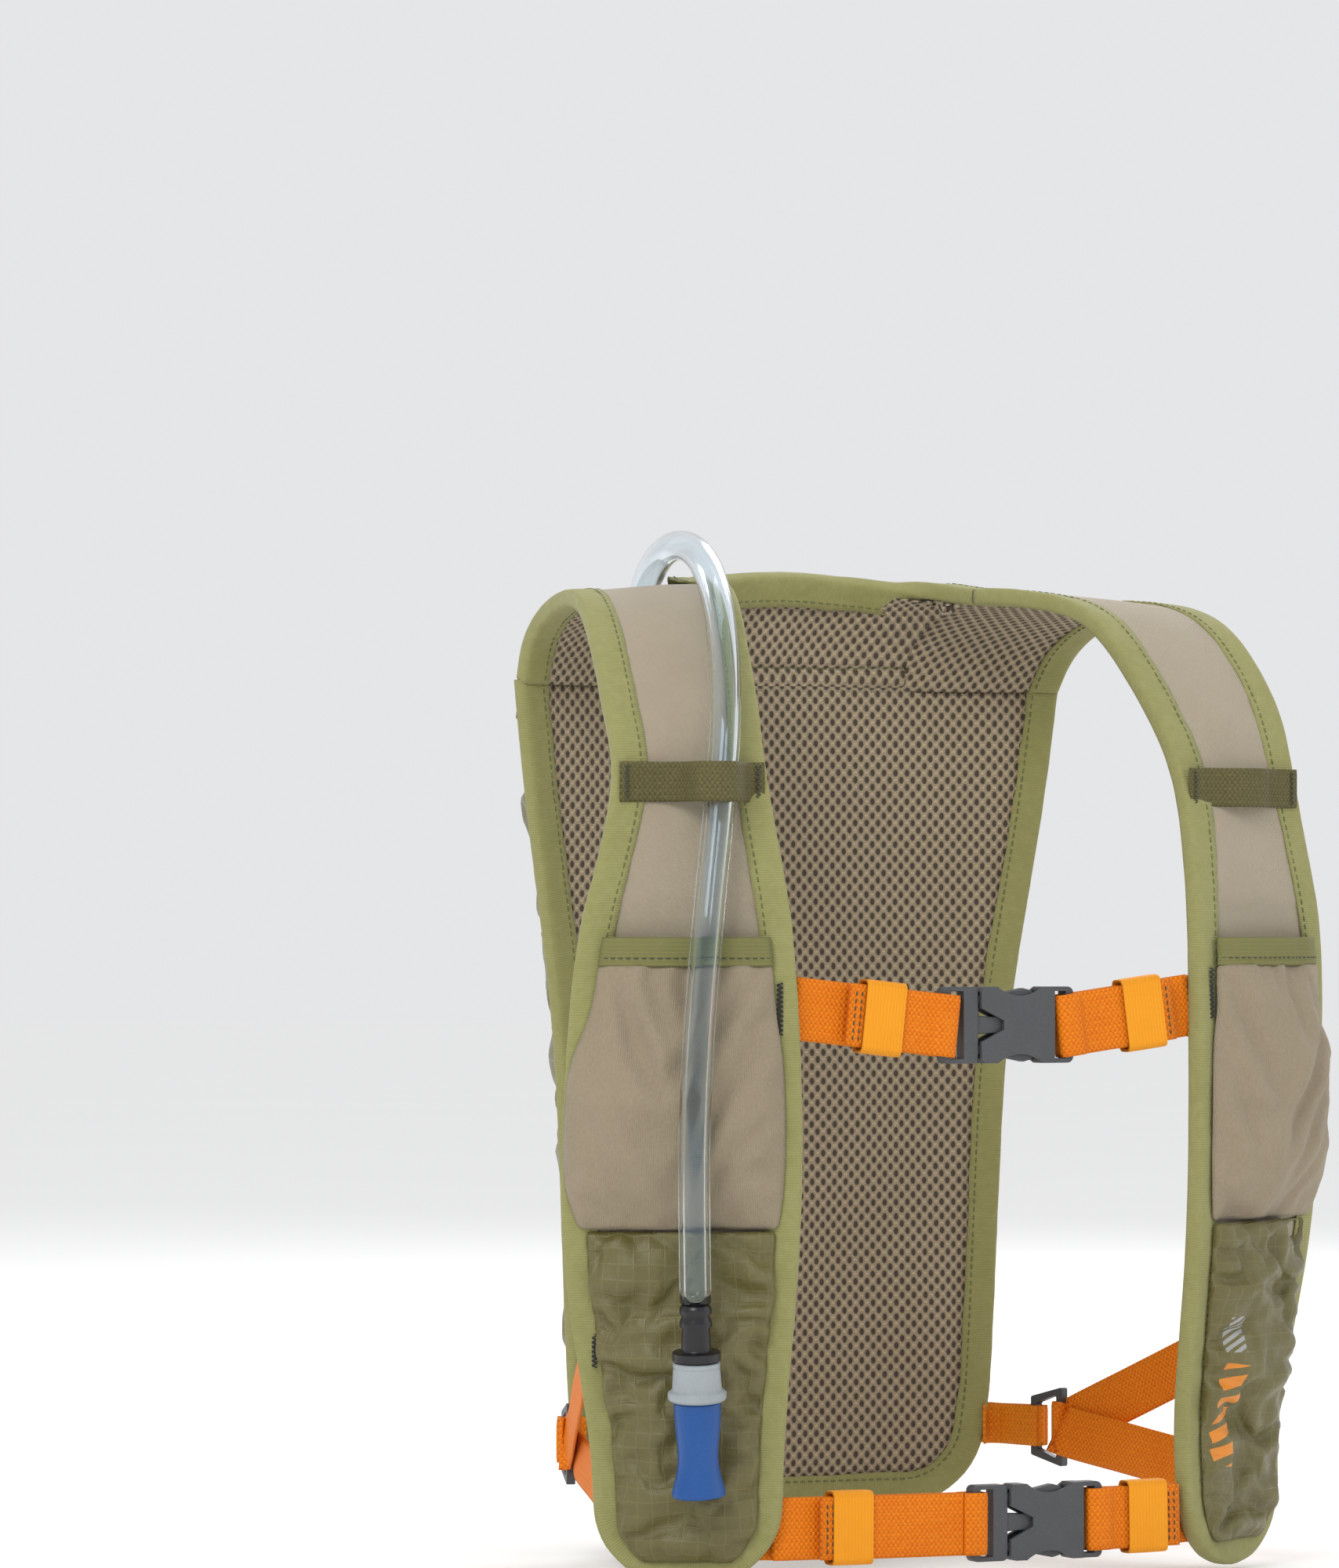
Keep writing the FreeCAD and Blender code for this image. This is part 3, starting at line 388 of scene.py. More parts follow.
# --- finishes -----------------------------------------------------------------------------
class Finish:
    """A material whose colour, roughness and bump are built up from small patterns."""

    def __init__(self, name, colour, rough, **sockets):
        self.material = bpy.data.materials.new(name)
        self.material.use_nodes = True
        self.material.diffuse_color = (*colour, 1)
        self.tree = self.material.node_tree
        self.shader = self.tree.nodes["Principled BSDF"]
        self.colour = (*colour, 1)
        self.shader.inputs["Base Color"].default_value = self.colour
        self.shader.inputs["Roughness"].default_value = rough
        for socket, value in sockets.items():
            self.shader.inputs[socket.replace("_", " ")].default_value = value
        self.last_colour = None
        self.height = None

    def node(self, kind, **settings):
        node = self.tree.nodes.new("ShaderNode" + kind)
        for key, value in settings.items():
            setattr(node, key, value)
        return node

    def join(self, source, target):
        self.tree.links.new(source, target)

    def sum(self, operation, a, b=None, c=None):
        """A Math node on sockets or numbers."""
        node = self.node("Math", operation=operation)
        for place, value in enumerate((a, b, c)):
            if value is None:
                continue
            if isinstance(value, (int, float)):
                node.inputs[place].default_value = value
            else:
                self.join(value, node.inputs[place])
        return node.outputs[0]

    def flat(self):
        """(u, v) on the flat cloth, in metres."""
        split = self.node("SeparateXYZ")
        self.join(self.node("UVMap", uv_map="cloth").outputs[0], split.inputs[0])
        return split.outputs[0], split.outputs[1]

    def place(self):
        return self.node("TexCoord").outputs["Object"]

    def cloud(self, size, detail=3.0, stretch=(1, 1, 1), where=None, rough=0.55):
        """Soft random blotches, size metres across."""
        turn = self.node("Mapping")
        turn.inputs["Scale"].default_value = [k / size for k in stretch]
        self.join(where if where is not None else self.place(), turn.inputs["Vector"])
        texture = self.node("TexNoise")
        texture.inputs["Scale"].default_value = 1.0
        texture.inputs["Detail"].default_value = detail
        texture.inputs["Roughness"].default_value = rough
        self.join(turn.outputs[0], texture.inputs["Vector"])
        return texture.outputs["Fac"]

    def stripes(self, place, pitch, sharp=1.0):
        """Smooth stripes across a place, from 0 to 1."""
        wave = self.sum("SINE", self.sum("MULTIPLY", place, 2 * math.pi / pitch))
        level = self.sum("MULTIPLY_ADD", wave, 0.5, 0.5)
        return self.sum("POWER", level, sharp) if sharp != 1.0 else level

    def spread(self, level, low, high):
        """The level stretched so that low is 0 and high is 1."""
        node = self.node("MapRange")
        node.inputs["From Min"].default_value = low
        node.inputs["From Max"].default_value = high
        self.join(level, node.inputs["Value"])
        return node.outputs[0]

    def tint(self, level, colour, amount=1.0):
        """Mixes a colour in where the level is high."""
        mix = self.node("Mix", data_type="RGBA")
        if amount != 1.0:
            level = self.sum("MULTIPLY", level, amount)
        self.join(level, mix.inputs[0])
        if self.last_colour is None:
            mix.inputs[6].default_value = self.colour
        else:
            self.join(self.last_colour, mix.inputs[6])
        mix.inputs[7].default_value = (*colour, 1)
        self.last_colour = mix.outputs[2]
        self.join(self.last_colour, self.shader.inputs["Base Color"])
        return self

    def raised(self, level, depth):
        """Adds to the surface's relief: depth is in metres."""
        step = self.sum("MULTIPLY", level, depth)
        self.height = step if self.height is None else self.sum("ADD", self.height, step)
        return self

    def rougher(self, level, low, high):
        node = self.node("MapRange")
        node.inputs["To Min"].default_value = low
        node.inputs["To Max"].default_value = high
        self.join(level, node.inputs["Value"])
        self.join(node.outputs[0], self.shader.inputs["Roughness"])
        return self

    def done(self, strength=1.0):
        if self.height is not None:
            bump = self.node("Bump")
            bump.inputs["Strength"].default_value = strength
            bump.inputs["Distance"].default_value = 1.0
            self.join(self.height, bump.inputs["Height"])
            self.join(bump.outputs[0], self.shader.inputs["Normal"])
        return self.material


def twill(name, colour, dark, pitch=0.9):
    """Woven strap cloth with a fine diagonal."""
    m = Finish(name, colour, 0.86, Sheen_Weight=0.25, Sheen_Roughness=0.5, Specular_IOR_Level=0.3)
    u, v = m.flat()
    diagonal = m.stripes(m.sum("ADD", u, v), pitch * MM)
    cross = m.stripes(m.sum("SUBTRACT", u, v), pitch * MM * 0.62)
    m.tint(m.spread(m.cloud(22 * MM), 0.35, 0.75), dark, 0.30)
    m.tint(m.spread(m.cloud(1.4 * MM, 2.0), 0.3, 0.8), dark, 0.22)
    m.tint(diagonal, dark, 0.32)
    m.raised(diagonal, 0.10 * MM).raised(cross, 0.05 * MM).raised(m.cloud(9 * MM), 0.5 * MM)
    return m.done()


def spacer_mesh():
    """Thick air mesh: taupe knit with rows of slanted oval holes, staggered. The holes and their
    rims carry painted shade.
    """
    m = Finish("air mesh", (0.52, 0.425, 0.285), 0.92, Sheen_Weight=0.15, Sheen_Roughness=0.6,
               Specular_IOR_Level=0.2)
    u, v = m.flat()
    wide, tall = 4.6 * MM, 5.4 * MM
    nearest = None
    for shift in (0.0, 0.5):
        across = m.sum("ADD", m.sum("DIVIDE", u, wide), shift)
        down = m.sum("ADD", m.sum("DIVIDE", v, tall), shift)
        x = m.sum("SUBTRACT", m.sum("FRACT", across), 0.5)
        y = m.sum("SUBTRACT", m.sum("FRACT", down), 0.5)
        far = m.sum("SQRT", m.sum(
            "ADD",
            m.sum("POWER", m.sum("ABSOLUTE", m.sum("MULTIPLY", x, 1.0)), 2.0),
            m.sum("POWER", m.sum("ABSOLUTE", m.sum("MULTIPLY", y, 0.80)), 2.0)))
        nearest = far if nearest is None else m.sum("MINIMUM", nearest, far)
    hole = m.spread(nearest, 0.225, 0.13)
    rim = m.spread(nearest, 0.36, 0.24)
    m.tint(m.spread(m.cloud(26 * MM), 0.3, 0.8), (0.43, 0.345, 0.225), 0.5)
    m.tint(m.stripes(v, 0.9 * MM), (0.36, 0.285, 0.185), 0.30)
    # Painted shade: the rims round the holes are tinted darker and the holes near black, for the
    # shade inside them.
    m.tint(rim, (0.30, 0.23, 0.145), 0.32)
    m.tint(hole, (0.050, 0.034, 0.022), 0.94)
    m.raised(m.sum("SUBTRACT", 1.0, rim), 0.7 * MM).raised(m.sum("SUBTRACT", 1.0, hole), 1.5 * MM)
    m.raised(m.stripes(v, 0.9 * MM), 0.10 * MM)
    return m.done()


def stretch_knit():
    """Stretch pocket cloth: a close two-way knit that pulls smooth."""
    m = Finish("stretch knit", (0.315, 0.255, 0.172), 0.80, Sheen_Weight=0.12,
               Sheen_Roughness=0.45,
               Specular_IOR_Level=0.35)
    u, v = m.flat()
    m.tint(m.spread(m.cloud(30 * MM), 0.3, 0.75), (0.235, 0.190, 0.125), 0.45)
    m.tint(m.stripes(u, 0.75 * MM), (0.20, 0.158, 0.10), 0.28)
    m.tint(m.spread(m.cloud(1.1 * MM, 2.0), 0.35, 0.75), (0.40, 0.335, 0.235), 0.30)
    m.raised(m.stripes(u, 0.75 * MM), 0.09 * MM).raised(m.stripes(v, 0.6 * MM), 0.04 * MM)
    m.raised(m.cloud(11 * MM), 0.4 * MM)
    return m.done()


def ripstop(name, prints=()):
    """Light olive ripstop: satin, with a fine raised grid. prints are blocks of ink."""
    m = Finish(name, (0.128, 0.108, 0.030), 0.42, Sheen_Weight=0.06, Sheen_Roughness=0.35,
               Specular_IOR_Level=0.55)
    u, v = m.flat()
    pitch = 4.8 * MM
    grid = m.sum("MAXIMUM", m.stripes(u, pitch, 30.0), m.stripes(v, pitch, 30.0))
    weave = m.sum("MULTIPLY", m.stripes(u, 0.55 * MM), m.stripes(v, 0.55 * MM))
    m.tint(m.spread(m.cloud(40 * MM), 0.3, 0.75), (0.165, 0.142, 0.045), 0.55)
    m.tint(m.spread(m.cloud(1.6 * MM, 2.0), 0.35, 0.8), (0.080, 0.066, 0.018), 0.35)
    m.tint(grid, (0.20, 0.175, 0.066), 0.36)
    for low_u, high_u, low_v, high_v, pitch_v, slant, share, ink in prints:
        inside = m.sum("MULTIPLY", m.sum("GREATER_THAN", u, low_u * MM),
                       m.sum("LESS_THAN", u, high_u * MM))
        inside = m.sum("MULTIPLY", inside, m.sum("GREATER_THAN", v, low_v * MM))
        inside = m.sum("MULTIPLY", inside, m.sum("LESS_THAN", v, high_v * MM))
        run = m.sum("MULTIPLY_ADD", u, slant, v)
        bar = m.sum("LESS_THAN", m.sum("FRACT", m.sum("DIVIDE", run, pitch_v * MM)), share)
        m.tint(m.sum("MULTIPLY", inside, bar), ink, 0.93)
    m.raised(grid, 0.10 * MM).raised(weave, 0.05 * MM).raised(m.cloud(7 * MM, 4.0), 0.55 * MM)
    m.rougher(m.cloud(18 * MM), 0.33, 0.48)
    return m.done()


def binding_tape():
    """Light olive grosgrain tape, ribbed across, a little puckered by its stitches."""
    m = Finish("binding tape", (0.315, 0.305, 0.118), 0.84, Sheen_Weight=0.12, Sheen_Roughness=0.5,
               Specular_IOR_Level=0.3)
    _, v = m.flat()
    ribs = m.stripes(v, 0.85 * MM)
    m.tint(m.spread(m.cloud(24 * MM), 0.3, 0.8), (0.245, 0.240, 0.080), 0.5)
    m.tint(m.spread(m.cloud(3.2 * MM, 3.0), 0.4, 0.8), (0.40, 0.39, 0.175), 0.35)
    m.tint(ribs, (0.185, 0.182, 0.06), 0.30)
    m.raised(ribs, 0.10 * MM).raised(m.cloud(5 * MM, 3.0), 0.7 * MM)
    return m.done()


def webbing(name, colour, dark, light, rib=1.9, rough=0.62):
    """Ribbed webbing: ribs across it, broken into a basket weave."""
    m = Finish(name, colour, rough, Sheen_Weight=0.03, Sheen_Roughness=0.4,
               Specular_IOR_Level=0.22)
    u, v = m.flat()
    ribs = m.stripes(v, rib * MM)
    step = m.sum("MULTIPLY", m.sum("FRACT", m.sum("DIVIDE", u, 2.4 * MM)), 1.0)
    half = m.sum("GREATER_THAN", step, 0.5)
    shifted = m.stripes(m.sum("MULTIPLY_ADD", half, rib * MM / 2, v), rib * MM)
    lines = m.stripes(u, 1.2 * MM, 3.0)
    m.tint(m.spread(m.cloud(18 * MM), 0.3, 0.8), dark, 0.25)
    m.tint(m.sum("SUBTRACT", 1.0, shifted), dark, 0.70)
    m.tint(m.spread(m.cloud(1.0 * MM, 2.0), 0.45, 0.8), light, 0.35)
    m.tint(lines, dark, 0.25)
    m.raised(shifted, 0.22 * MM).raised(ribs, 0.08 * MM).raised(lines, -0.06 * MM)
    return m.done()


def elastic(name, colour, dark, rough=0.7):
    """Knitted elastic: fine cords along it."""
    m = Finish(name, colour, rough, Sheen_Weight=0.03, Sheen_Roughness=0.4,
               Specular_IOR_Level=0.22)
    u, v = m.flat()
    m.tint(m.spread(m.cloud(14 * MM), 0.3, 0.8), dark, 0.3)
    m.tint(m.stripes(v, 1.3 * MM), dark, 0.22)
    m.raised(m.stripes(v, 1.3 * MM), 0.14 * MM).raised(m.stripes(u, 0.8 * MM), 0.05 * MM)
    return m.done()


def moulded(name, colour, rough=0.42, grain=0.05, **more):
    """Moulded plastic with a fine spark-eroded grain."""
    m = Finish(name, colour, rough, Specular_IOR_Level=0.5, **more)
    light = [min(1.0, c * 1.7 + 0.01) for c in colour]
    m.tint(m.spread(m.cloud(0.9 * MM, 2.0), 0.35, 0.75), light, 0.18)
    m.tint(m.spread(m.cloud(12 * MM), 0.35, 0.75), [c * 0.75 for c in colour], 0.35)
    m.raised(m.cloud(0.7 * MM, 2.0), grain * MM)
    m.rougher(m.cloud(6 * MM), max(0.05, rough - 0.08), rough + 0.1)
    return m.done()


def clear_hose():
    """Clear flexible hose with a faint blue tint."""
    m = Finish("clear hose", (0.90, 0.955, 0.985), 0.05, Transmission_Weight=1.0, IOR=1.46,
               Specular_Tint=(0.20, 0.32, 0.48, 1.0), Coat_Weight=0.22, Coat_Roughness=0.04)
    m.tint(m.spread(m.cloud(30 * MM), 0.35, 0.8), (0.80, 0.90, 0.96), 0.5)
    m.raised(m.cloud(22 * MM), 0.03 * MM)
    m.rougher(m.cloud(14 * MM), 0.03, 0.09)
    return m.done()


def thread(name, colour):
    m = Finish(name, colour, 0.7, Sheen_Weight=0.2)
    m.tint(m.spread(m.cloud(0.8 * MM), 0.35, 0.75), [c * 0.5 for c in colour], 0.5)
    return m.done()


ORANGE = (0.88, 0.235, 0.002)
# Slanted ink bars up the middle of the bag: u from and to, v from and to, pitch, slant, share.
BAG_BARS = [
    (-29.0, 8.0, 66.0, 300.0, 26.0, 0.45, 0.55, (0.86, 0.26, 0.004)),
]
SIDE_MARKS = [
    (-24.0, -16.0, 36.0, 50.0, 2.6, 0.5, 0.55, (0.36, 0.37, 0.36)),
    (-24.0, -15.0, 54.0, 96.0, 7.5, 0.3, 0.60, (0.76, 0.25, 0.015)),
]

STRAP_CLOTH = twill("strap cloth", (0.415, 0.352, 0.258), (0.305, 0.252, 0.175))
AIR_MESH = spacer_mesh()
STRETCH = stretch_knit()
RIPSTOP = ripstop("ripstop")
RIPSTOP_BAG = ripstop("ripstop with bars", BAG_BARS)
RIPSTOP_MARKED = ripstop("ripstop with marks", SIDE_MARKS)
BINDING = binding_tape()
OLIVE_WEB = webbing("olive grosgrain", (0.145, 0.125, 0.048), (0.065, 0.055, 0.02),
                    (0.24, 0.21, 0.10), 1.8)
OLIVE_ELASTIC = elastic("olive elastic", (0.21, 0.205, 0.075), (0.12, 0.115, 0.04))
ORANGE_WEB = webbing("orange webbing", ORANGE, (0.55, 0.095, 0.001), (0.98, 0.38, 0.012))
AMBER_ELASTIC = elastic("amber elastic", (0.88, 0.345, 0.012), (0.72, 0.23, 0.006), 0.6)
BUCKLE = moulded("buckle plastic", (0.062, 0.065, 0.070), 0.45, 0.06)
BLACK_PLASTIC = moulded("black plastic", (0.006, 0.006, 0.008), 0.30, 0.03)
COLLAR = moulded("collar plastic", (0.48, 0.53, 0.56), 0.32, 0.02, Transmission_Weight=0.35,
                 IOR=1.45)
VALVE = moulded("valve silicone", (0.001, 0.070, 0.285), 0.36, 0.03, Subsurface_Weight=0.12,
                Subsurface_Scale=0.004)
HOSE = clear_hose()
BLADDER_FILM = moulded("bladder film", (0.30, 0.45, 0.55), 0.25, 0.02, Transmission_Weight=0.5,
                       IOR=1.4)
DARK_THREAD = thread("dark thread", (0.060, 0.060, 0.022))
TACK_THREAD = thread("tack thread", (0.010, 0.010, 0.010))
TAPE_THREAD = thread("tape thread", (0.145, 0.155, 0.050))


def place_piece(thing, body, slot, *nodes):
    """Fixes a finished piece on its body and hides the CAD nodes it stands for."""
    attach(thing, body)
    if nodes:
        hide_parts(*nodes)
    return thing


# --- camera, floor and light --------------------------------------------------------------
def studio():
    azimuth, rise = math.radians(-26), math.radians(-1.24)
    distance, lens = 2.6, 163.1
    away = Vector((math.sin(azimuth) * math.cos(rise), -math.cos(azimuth) * math.cos(rise),
                   math.sin(rise)))
    aim = Vector((-0.0634, 0.033, -0.0680))
    camera = bpy.data.objects.new("camera", bpy.data.cameras.new("camera"))
    camera.data.lens = lens
    camera.data.sensor_width = 36
    camera.data.clip_end = 20
    camera.location = aim + away * distance
    camera.rotation_euler = (-away).to_track_quat("-Z", "Y").to_euler()
    bpy.context.scene.collection.objects.link(camera)
    bpy.context.scene.camera = camera

    lamps = [
        ("key", (-1.5, -1.3, 1.3), 0.9, 19, (1.0, 0.985, 0.96)),
        ("fill", (1.9, -1.2, 0.6), 1.6, 5, (0.97, 0.985, 1.0)),
        ("back", (1.5, 1.5, 1.2), 0.9, 17, (1.0, 1.0, 1.0)),
        ("top", (0.0, 0.1, 2.2), 1.0, 8, (1.0, 1.0, 1.0)),
    ]
    for name, spot, size, power, colour in lamps:
        light = bpy.data.lights.new(name, "AREA")
        light.size, light.energy, light.color = size, power, colour
        lamp = bpy.data.objects.new(name, light)
        lamp.location = spot
        lamp.rotation_euler = (
            (Vector((0, 0, -0.16)) - Vector(spot)).to_track_quat("-Z", "Y").to_euler())
        bpy.context.scene.collection.objects.link(lamp)

    world = bpy.data.worlds.new("studio")
    world.use_nodes = True
    sky = world.node_tree.nodes["Background"]
    sky.inputs["Color"].default_value = (0.98, 0.985, 1.0, 1)
    sky.inputs["Strength"].default_value = 0.80
    bpy.context.scene.world = world
    bpy.context.scene.view_settings.view_transform = "Standard"

    ground = Finish("floor paint", (0.92, 0.92, 0.915), 0.9, Emission_Color=(1, 1, 1, 1),
                    Emission_Strength=0.062)
    ground.tint(ground.spread(ground.cloud(0.5), 0.3, 0.8), (0.90, 0.90, 0.895), 0.5)
    floor_size, floor_height = 60, -0.353
    bpy.ops.mesh.primitive_plane_add(size=floor_size, location=(0, 0, floor_height))
    floor = bpy.context.active_object
    floor.name = "floor"
    floor.data.materials.append(ground.done())


studio()


# --- the drink tube -----------------------------------------------------------------------
DRINK_ROUTE = [
    (-58, 76.2, 331.6), (-61.5, 62.2, 348.5), (-66.5, 42.1, 361.6), (-71.5, 17, 368),
    (-77.5, -13, 367),
    (-85, -44, 356.5), (-92, -68, 336), (-99, -86, 306), (-106.5, -95, 272), (-114.5, -103, 236),
    (-120.5, -107.8, 198), (-122.5, -107.5, 160), (-121.5, -105.5, 128), (-119.5, -102.5, 100),
]


def spline_points(route):
    """The points that the route's NURBS spline follows."""
    curve = bpy.data.curves.new("hose line", "CURVE")
    curve.dimensions = "3D"
    curve.resolution_u = 12
    spline = curve.splines.new("NURBS")
    spline.points.add(len(route) - 1)
    for point, place in zip(spline.points, route):
        point.co = (*(at(*place) * MM), 1)
    spline.order_u = 3
    spline.use_endpoint_u = True
    line = bpy.data.objects.new("hose line", curve)
    bpy.context.scene.collection.objects.link(line)
    mesh = bpy.data.meshes.new_from_object(line)
    points = [v.co.copy() for v in mesh.vertices]
    bpy.data.objects.remove(line)
    bpy.data.meshes.remove(mesh)
    return points


def carried_ways(line):
    """A direction across a line at each point, carried along it without twist."""
    along = tangents(line)
    way = along[0].orthogonal().normalized()
    ways = []
    for t in along:
        way = (way - t * way.dot(t)).normalized()
        ways.append(way)
    return along, ways


def hose():
    path = spline_points(DRINK_ROUTE)
    line = [p / MM for p in path]
    along, ways = carried_ways(line)
    bore = HOSE_OD / 2 - 1.9
    outer, inner = [], []
    for p, t, way in zip(line, along, ways):
        side = t.cross(way)
        turns = [2 * math.pi * k / 28 for k in range(28)]
        outer.append([p + (way * math.cos(a) + side * math.sin(a)) * HOSE_OD / 2 for a in turns])
        inner.append([p + (way * math.cos(a) + side * math.sin(a)) * bore for a in turns])
    rings = outer + inner[::-1]
    count = 28
    faces = []
    for i in range(len(rings)):
        n = (i + 1) % len(rings)
        for j in range(count):
            k = (j + 1) % count
            faces.append((i * count + j, i * count + k, n * count + k, n * count + j))
    piece = new_object("hose", [p for ring in rings for p in ring], faces, HOSE)
    tidy_normals(piece)
    return piece, path


def turned(name, profile, start, direction, finish, count=48, sharp=35):
    """A part turned on a lathe: a circle is pushed out and sized ring by ring."""
    bpy.ops.object.select_all(action="DESELECT")
    along, radius = profile[0]
    bpy.ops.mesh.primitive_circle_add(vertices=count, radius=radius * MM,
                                      location=(0, 0, along * MM))
    piece = bpy.context.active_object
    piece.name = name
    bpy.ops.object.transform_apply(location=True, rotation=True, scale=True)
    bpy.ops.object.mode_set(mode="EDIT")
    bpy.ops.mesh.select_all(action="SELECT")
    for (before, last), (after, size) in zip(profile, profile[1:]):
        move = (0, 0, (after - before) * MM)
        bpy.ops.mesh.extrude_region_move(TRANSFORM_OT_translate={"value": move})
        bpy.ops.transform.resize(value=(size / last, size / last, 1),
                                 center_override=(0, 0, after * MM))
    bpy.ops.mesh.select_all(action="SELECT")
    bpy.ops.mesh.remove_doubles(threshold=0.00001)
    bpy.ops.mesh.normals_make_consistent(inside=False)
    bpy.ops.object.mode_set(mode="OBJECT")
    turn = UP.rotation_difference(direction).to_matrix().to_4x4()
    piece.data.transform(Matrix.Translation(start * MM) @ turn)
    piece.data.materials.clear()
    piece.data.materials.append(finish)
    only(piece)
    bpy.ops.object.shade_smooth_by_angle(angle=math.radians(sharp))
    return piece


TUBE_END = at(*DRINK_ROUTE[-1])
TUBE_DOWN = (TUBE_END - at(*DRINK_ROUTE[-2])).normalized()


def hose_and_valve():
    tube, path = hose()
    connector = turned("hose_connector", [
        (0.3, 2.0), (0.3, 4.4), (0.5, 4.7), (1.8, 5.5), (2.2, 5.62), (3.8, 5.62), (4.0, 5.5),
        (4.1, 4.9),
        (4.9, 4.9), (6.3, 5.5), (6.7, 5.62), (8.3, 5.62), (8.5, 5.5), (8.6, 4.9), (9.6, 4.9),
        (11.6, 5.1),
        (16.4, 5.2), (16.8, 5.5), (17.0, 6.2), (17.1, 8.0), (17.4, 8.4), (20.0, 8.4), (20.3, 8.1),
        (20.4, 7.4), (20.4, 2.0), (0.3, 2.0)], TUBE_END, TUBE_DOWN, BLACK_PLASTIC)
    collar = turned("valve_ring", [
        (20.8, 2.5), (20.8, 7.8), (21.1, 8.2), (22.2, 8.3), (22.5, 8.1), (23.0, 8.1), (23.3, 8.35),
        (30.2, 8.8), (30.8, 9.4), (31.2, 10.0), (31.5, 10.2), (33.4, 10.2), (33.8, 9.9),
        (34.3, 9.4),
        (34.4, 8.9), (34.4, 2.5), (20.8, 2.5)], TUBE_END, TUBE_DOWN, COLLAR)
    valve = turned("valve_mouthpiece", [
        (34.7, 2.2), (34.7, 7.9), (35.0, 8.2), (38.0, 8.15), (42.0, 7.95), (46.0, 7.6),
        (50.0, 7.2),
        (54.0, 7.05), (57.0, 7.25), (60.0, 7.7), (63.0, 8.5), (65.6, 9.2), (66.8, 9.42),
        (67.6, 9.3),
        (68.0, 8.7), (68.0, 6.0), (67.2, 4.6), (67.0, 2.2), (34.7, 2.2)], TUBE_END, TUBE_DOWN,
        VALVE)
    scallop_collar(collar)
    flatten_valve(valve)
    place_piece(tube, "pack", "tube", "drink_tube")
    place_piece(connector, "pack", "black_plastic", "tube_connector")
    place_piece(collar, "drink_valve", "collar", "valve_collar")
    place_piece(valve, "drink_valve", "valve", "bite_valve")


def along_tube(point):
    """How far down the tube's end a point lies, its distance out and its turn, in mm."""
    offset = point / MM - TUBE_END
    run = offset.dot(TUBE_DOWN)
    side = offset - TUBE_DOWN * run
    front = (Vector((0, -1, 0)) - TUBE_DOWN * Vector((0, -1, 0)).dot(TUBE_DOWN)).normalized()
    left = TUBE_DOWN.cross(front)
    return run, side.length, math.atan2(side.dot(left), side.dot(front)), side.normalized()


def scallop_collar(collar):
    """Flattens shallow grip ribs into the collar's barrel."""
    for vertex in collar.data.vertices:
        run, far, turn, side = along_tube(vertex.co)
        if 23.2 < run < 30.6 and far > 7.5:
            dip = 0.35 * (0.5 + 0.5 * math.cos(turn * 12))
            vertex.co -= side * dip * MM


def flatten_valve(valve):
    """The mouthpiece is pinched to a flattened lip at its far end."""
    for vertex in valve.data.vertices:
        run, far, turn, side = along_tube(vertex.co)
        if run > 50 and far > 1:
            pinch = min(1.0, (run - 50) / 16) ** 1.5
            vertex.co += side * (far * pinch * (0.02 * math.sin(turn) ** 2
                                                - 0.16 * math.cos(turn) ** 2)) * MM


hose_and_valve()


# --- shoulder straps ----------------------------------------------------------------------
STRAP_EDGES = [
    ((52, 71.2, 319), (111, 55.8, 319)),
    ((52, 63, 334), (113, 46, 332)),
    ((52.5, 45, 345), (115, 30, 341)),
    ((54, 15, 350), (118, 10, 345)),
    ((62, -12, 348), (124, -14, 344)),
    ((71, -36, 341), (130, -36, 336)),
    ((77, -55, 323), (134, -54, 318)),
    ((81, -70, 303), (135.5, -65, 300)),
    ((83.5, -82, 280), (136, -71, 280)),
    ((82, -92, 250), (142, -71, 250)),
    ((80, -98, 219), (148, -68, 219)),
    ((78.5, -101, 165), (150, -63, 165)),
    ((78.5, -98, 110), (147, -58.5, 110)),
    ((79, -90, 60), (138, -56, 60)),
    ((80, -89, 28), (135.5, -57, 28)),
]
PER_SPAN = 10
APEX_STATION = 3
STRAP_END = 28.0


class Station:
    """A cross-section of a strap: its two edges, and the directions across and out."""

    def __init__(self, inner, outer, along):
        self.inner, self.outer = inner, outer
        self.across = (outer - inner).normalized()
        self.out = along.cross(self.across).normalized()
        self.centre = (inner + outer) * 0.5
        self.half = (outer - inner).length / 2

    def place(self, share, off):
        """A point at a share of the half width from the centre, off the inner face."""
        return self.centre + self.across * (share * self.half) + self.out * off


def strap_stations():
    inner = smooth_line([at(*pair[0]) for pair in STRAP_EDGES], PER_SPAN)
    outer = smooth_line([at(*pair[1]) for pair in STRAP_EDGES], PER_SPAN)
    middle = [(a + b) * 0.5 for a, b in zip(inner, outer)]
    return [Station(a, b, t) for a, b, t in zip(inner, outer, tangents(middle))]


STRAP = strap_stations()
LAST = STRAP[-1]
LAST.out = (-UP).cross(LAST.across).normalized()
CHEST = STRAP[PER_SPAN * 6:]


def end_station(angle):
    """A section of the strap's rounded end: 0 is where it begins, a quarter turn its tip."""
    half = LAST.half * math.cos(angle)
    drop = UP * (math.sin(angle) * STRAP_END)
    station = Station(LAST.centre - LAST.across * half - drop,
                      LAST.centre + LAST.across * half - drop, -UP)
    station.out = LAST.out
    return station


STRAP_TIP = [end_station(math.radians(a)) for a in (8, 16, 24, 32, 40, 48, 56, 63, 69, 74)]


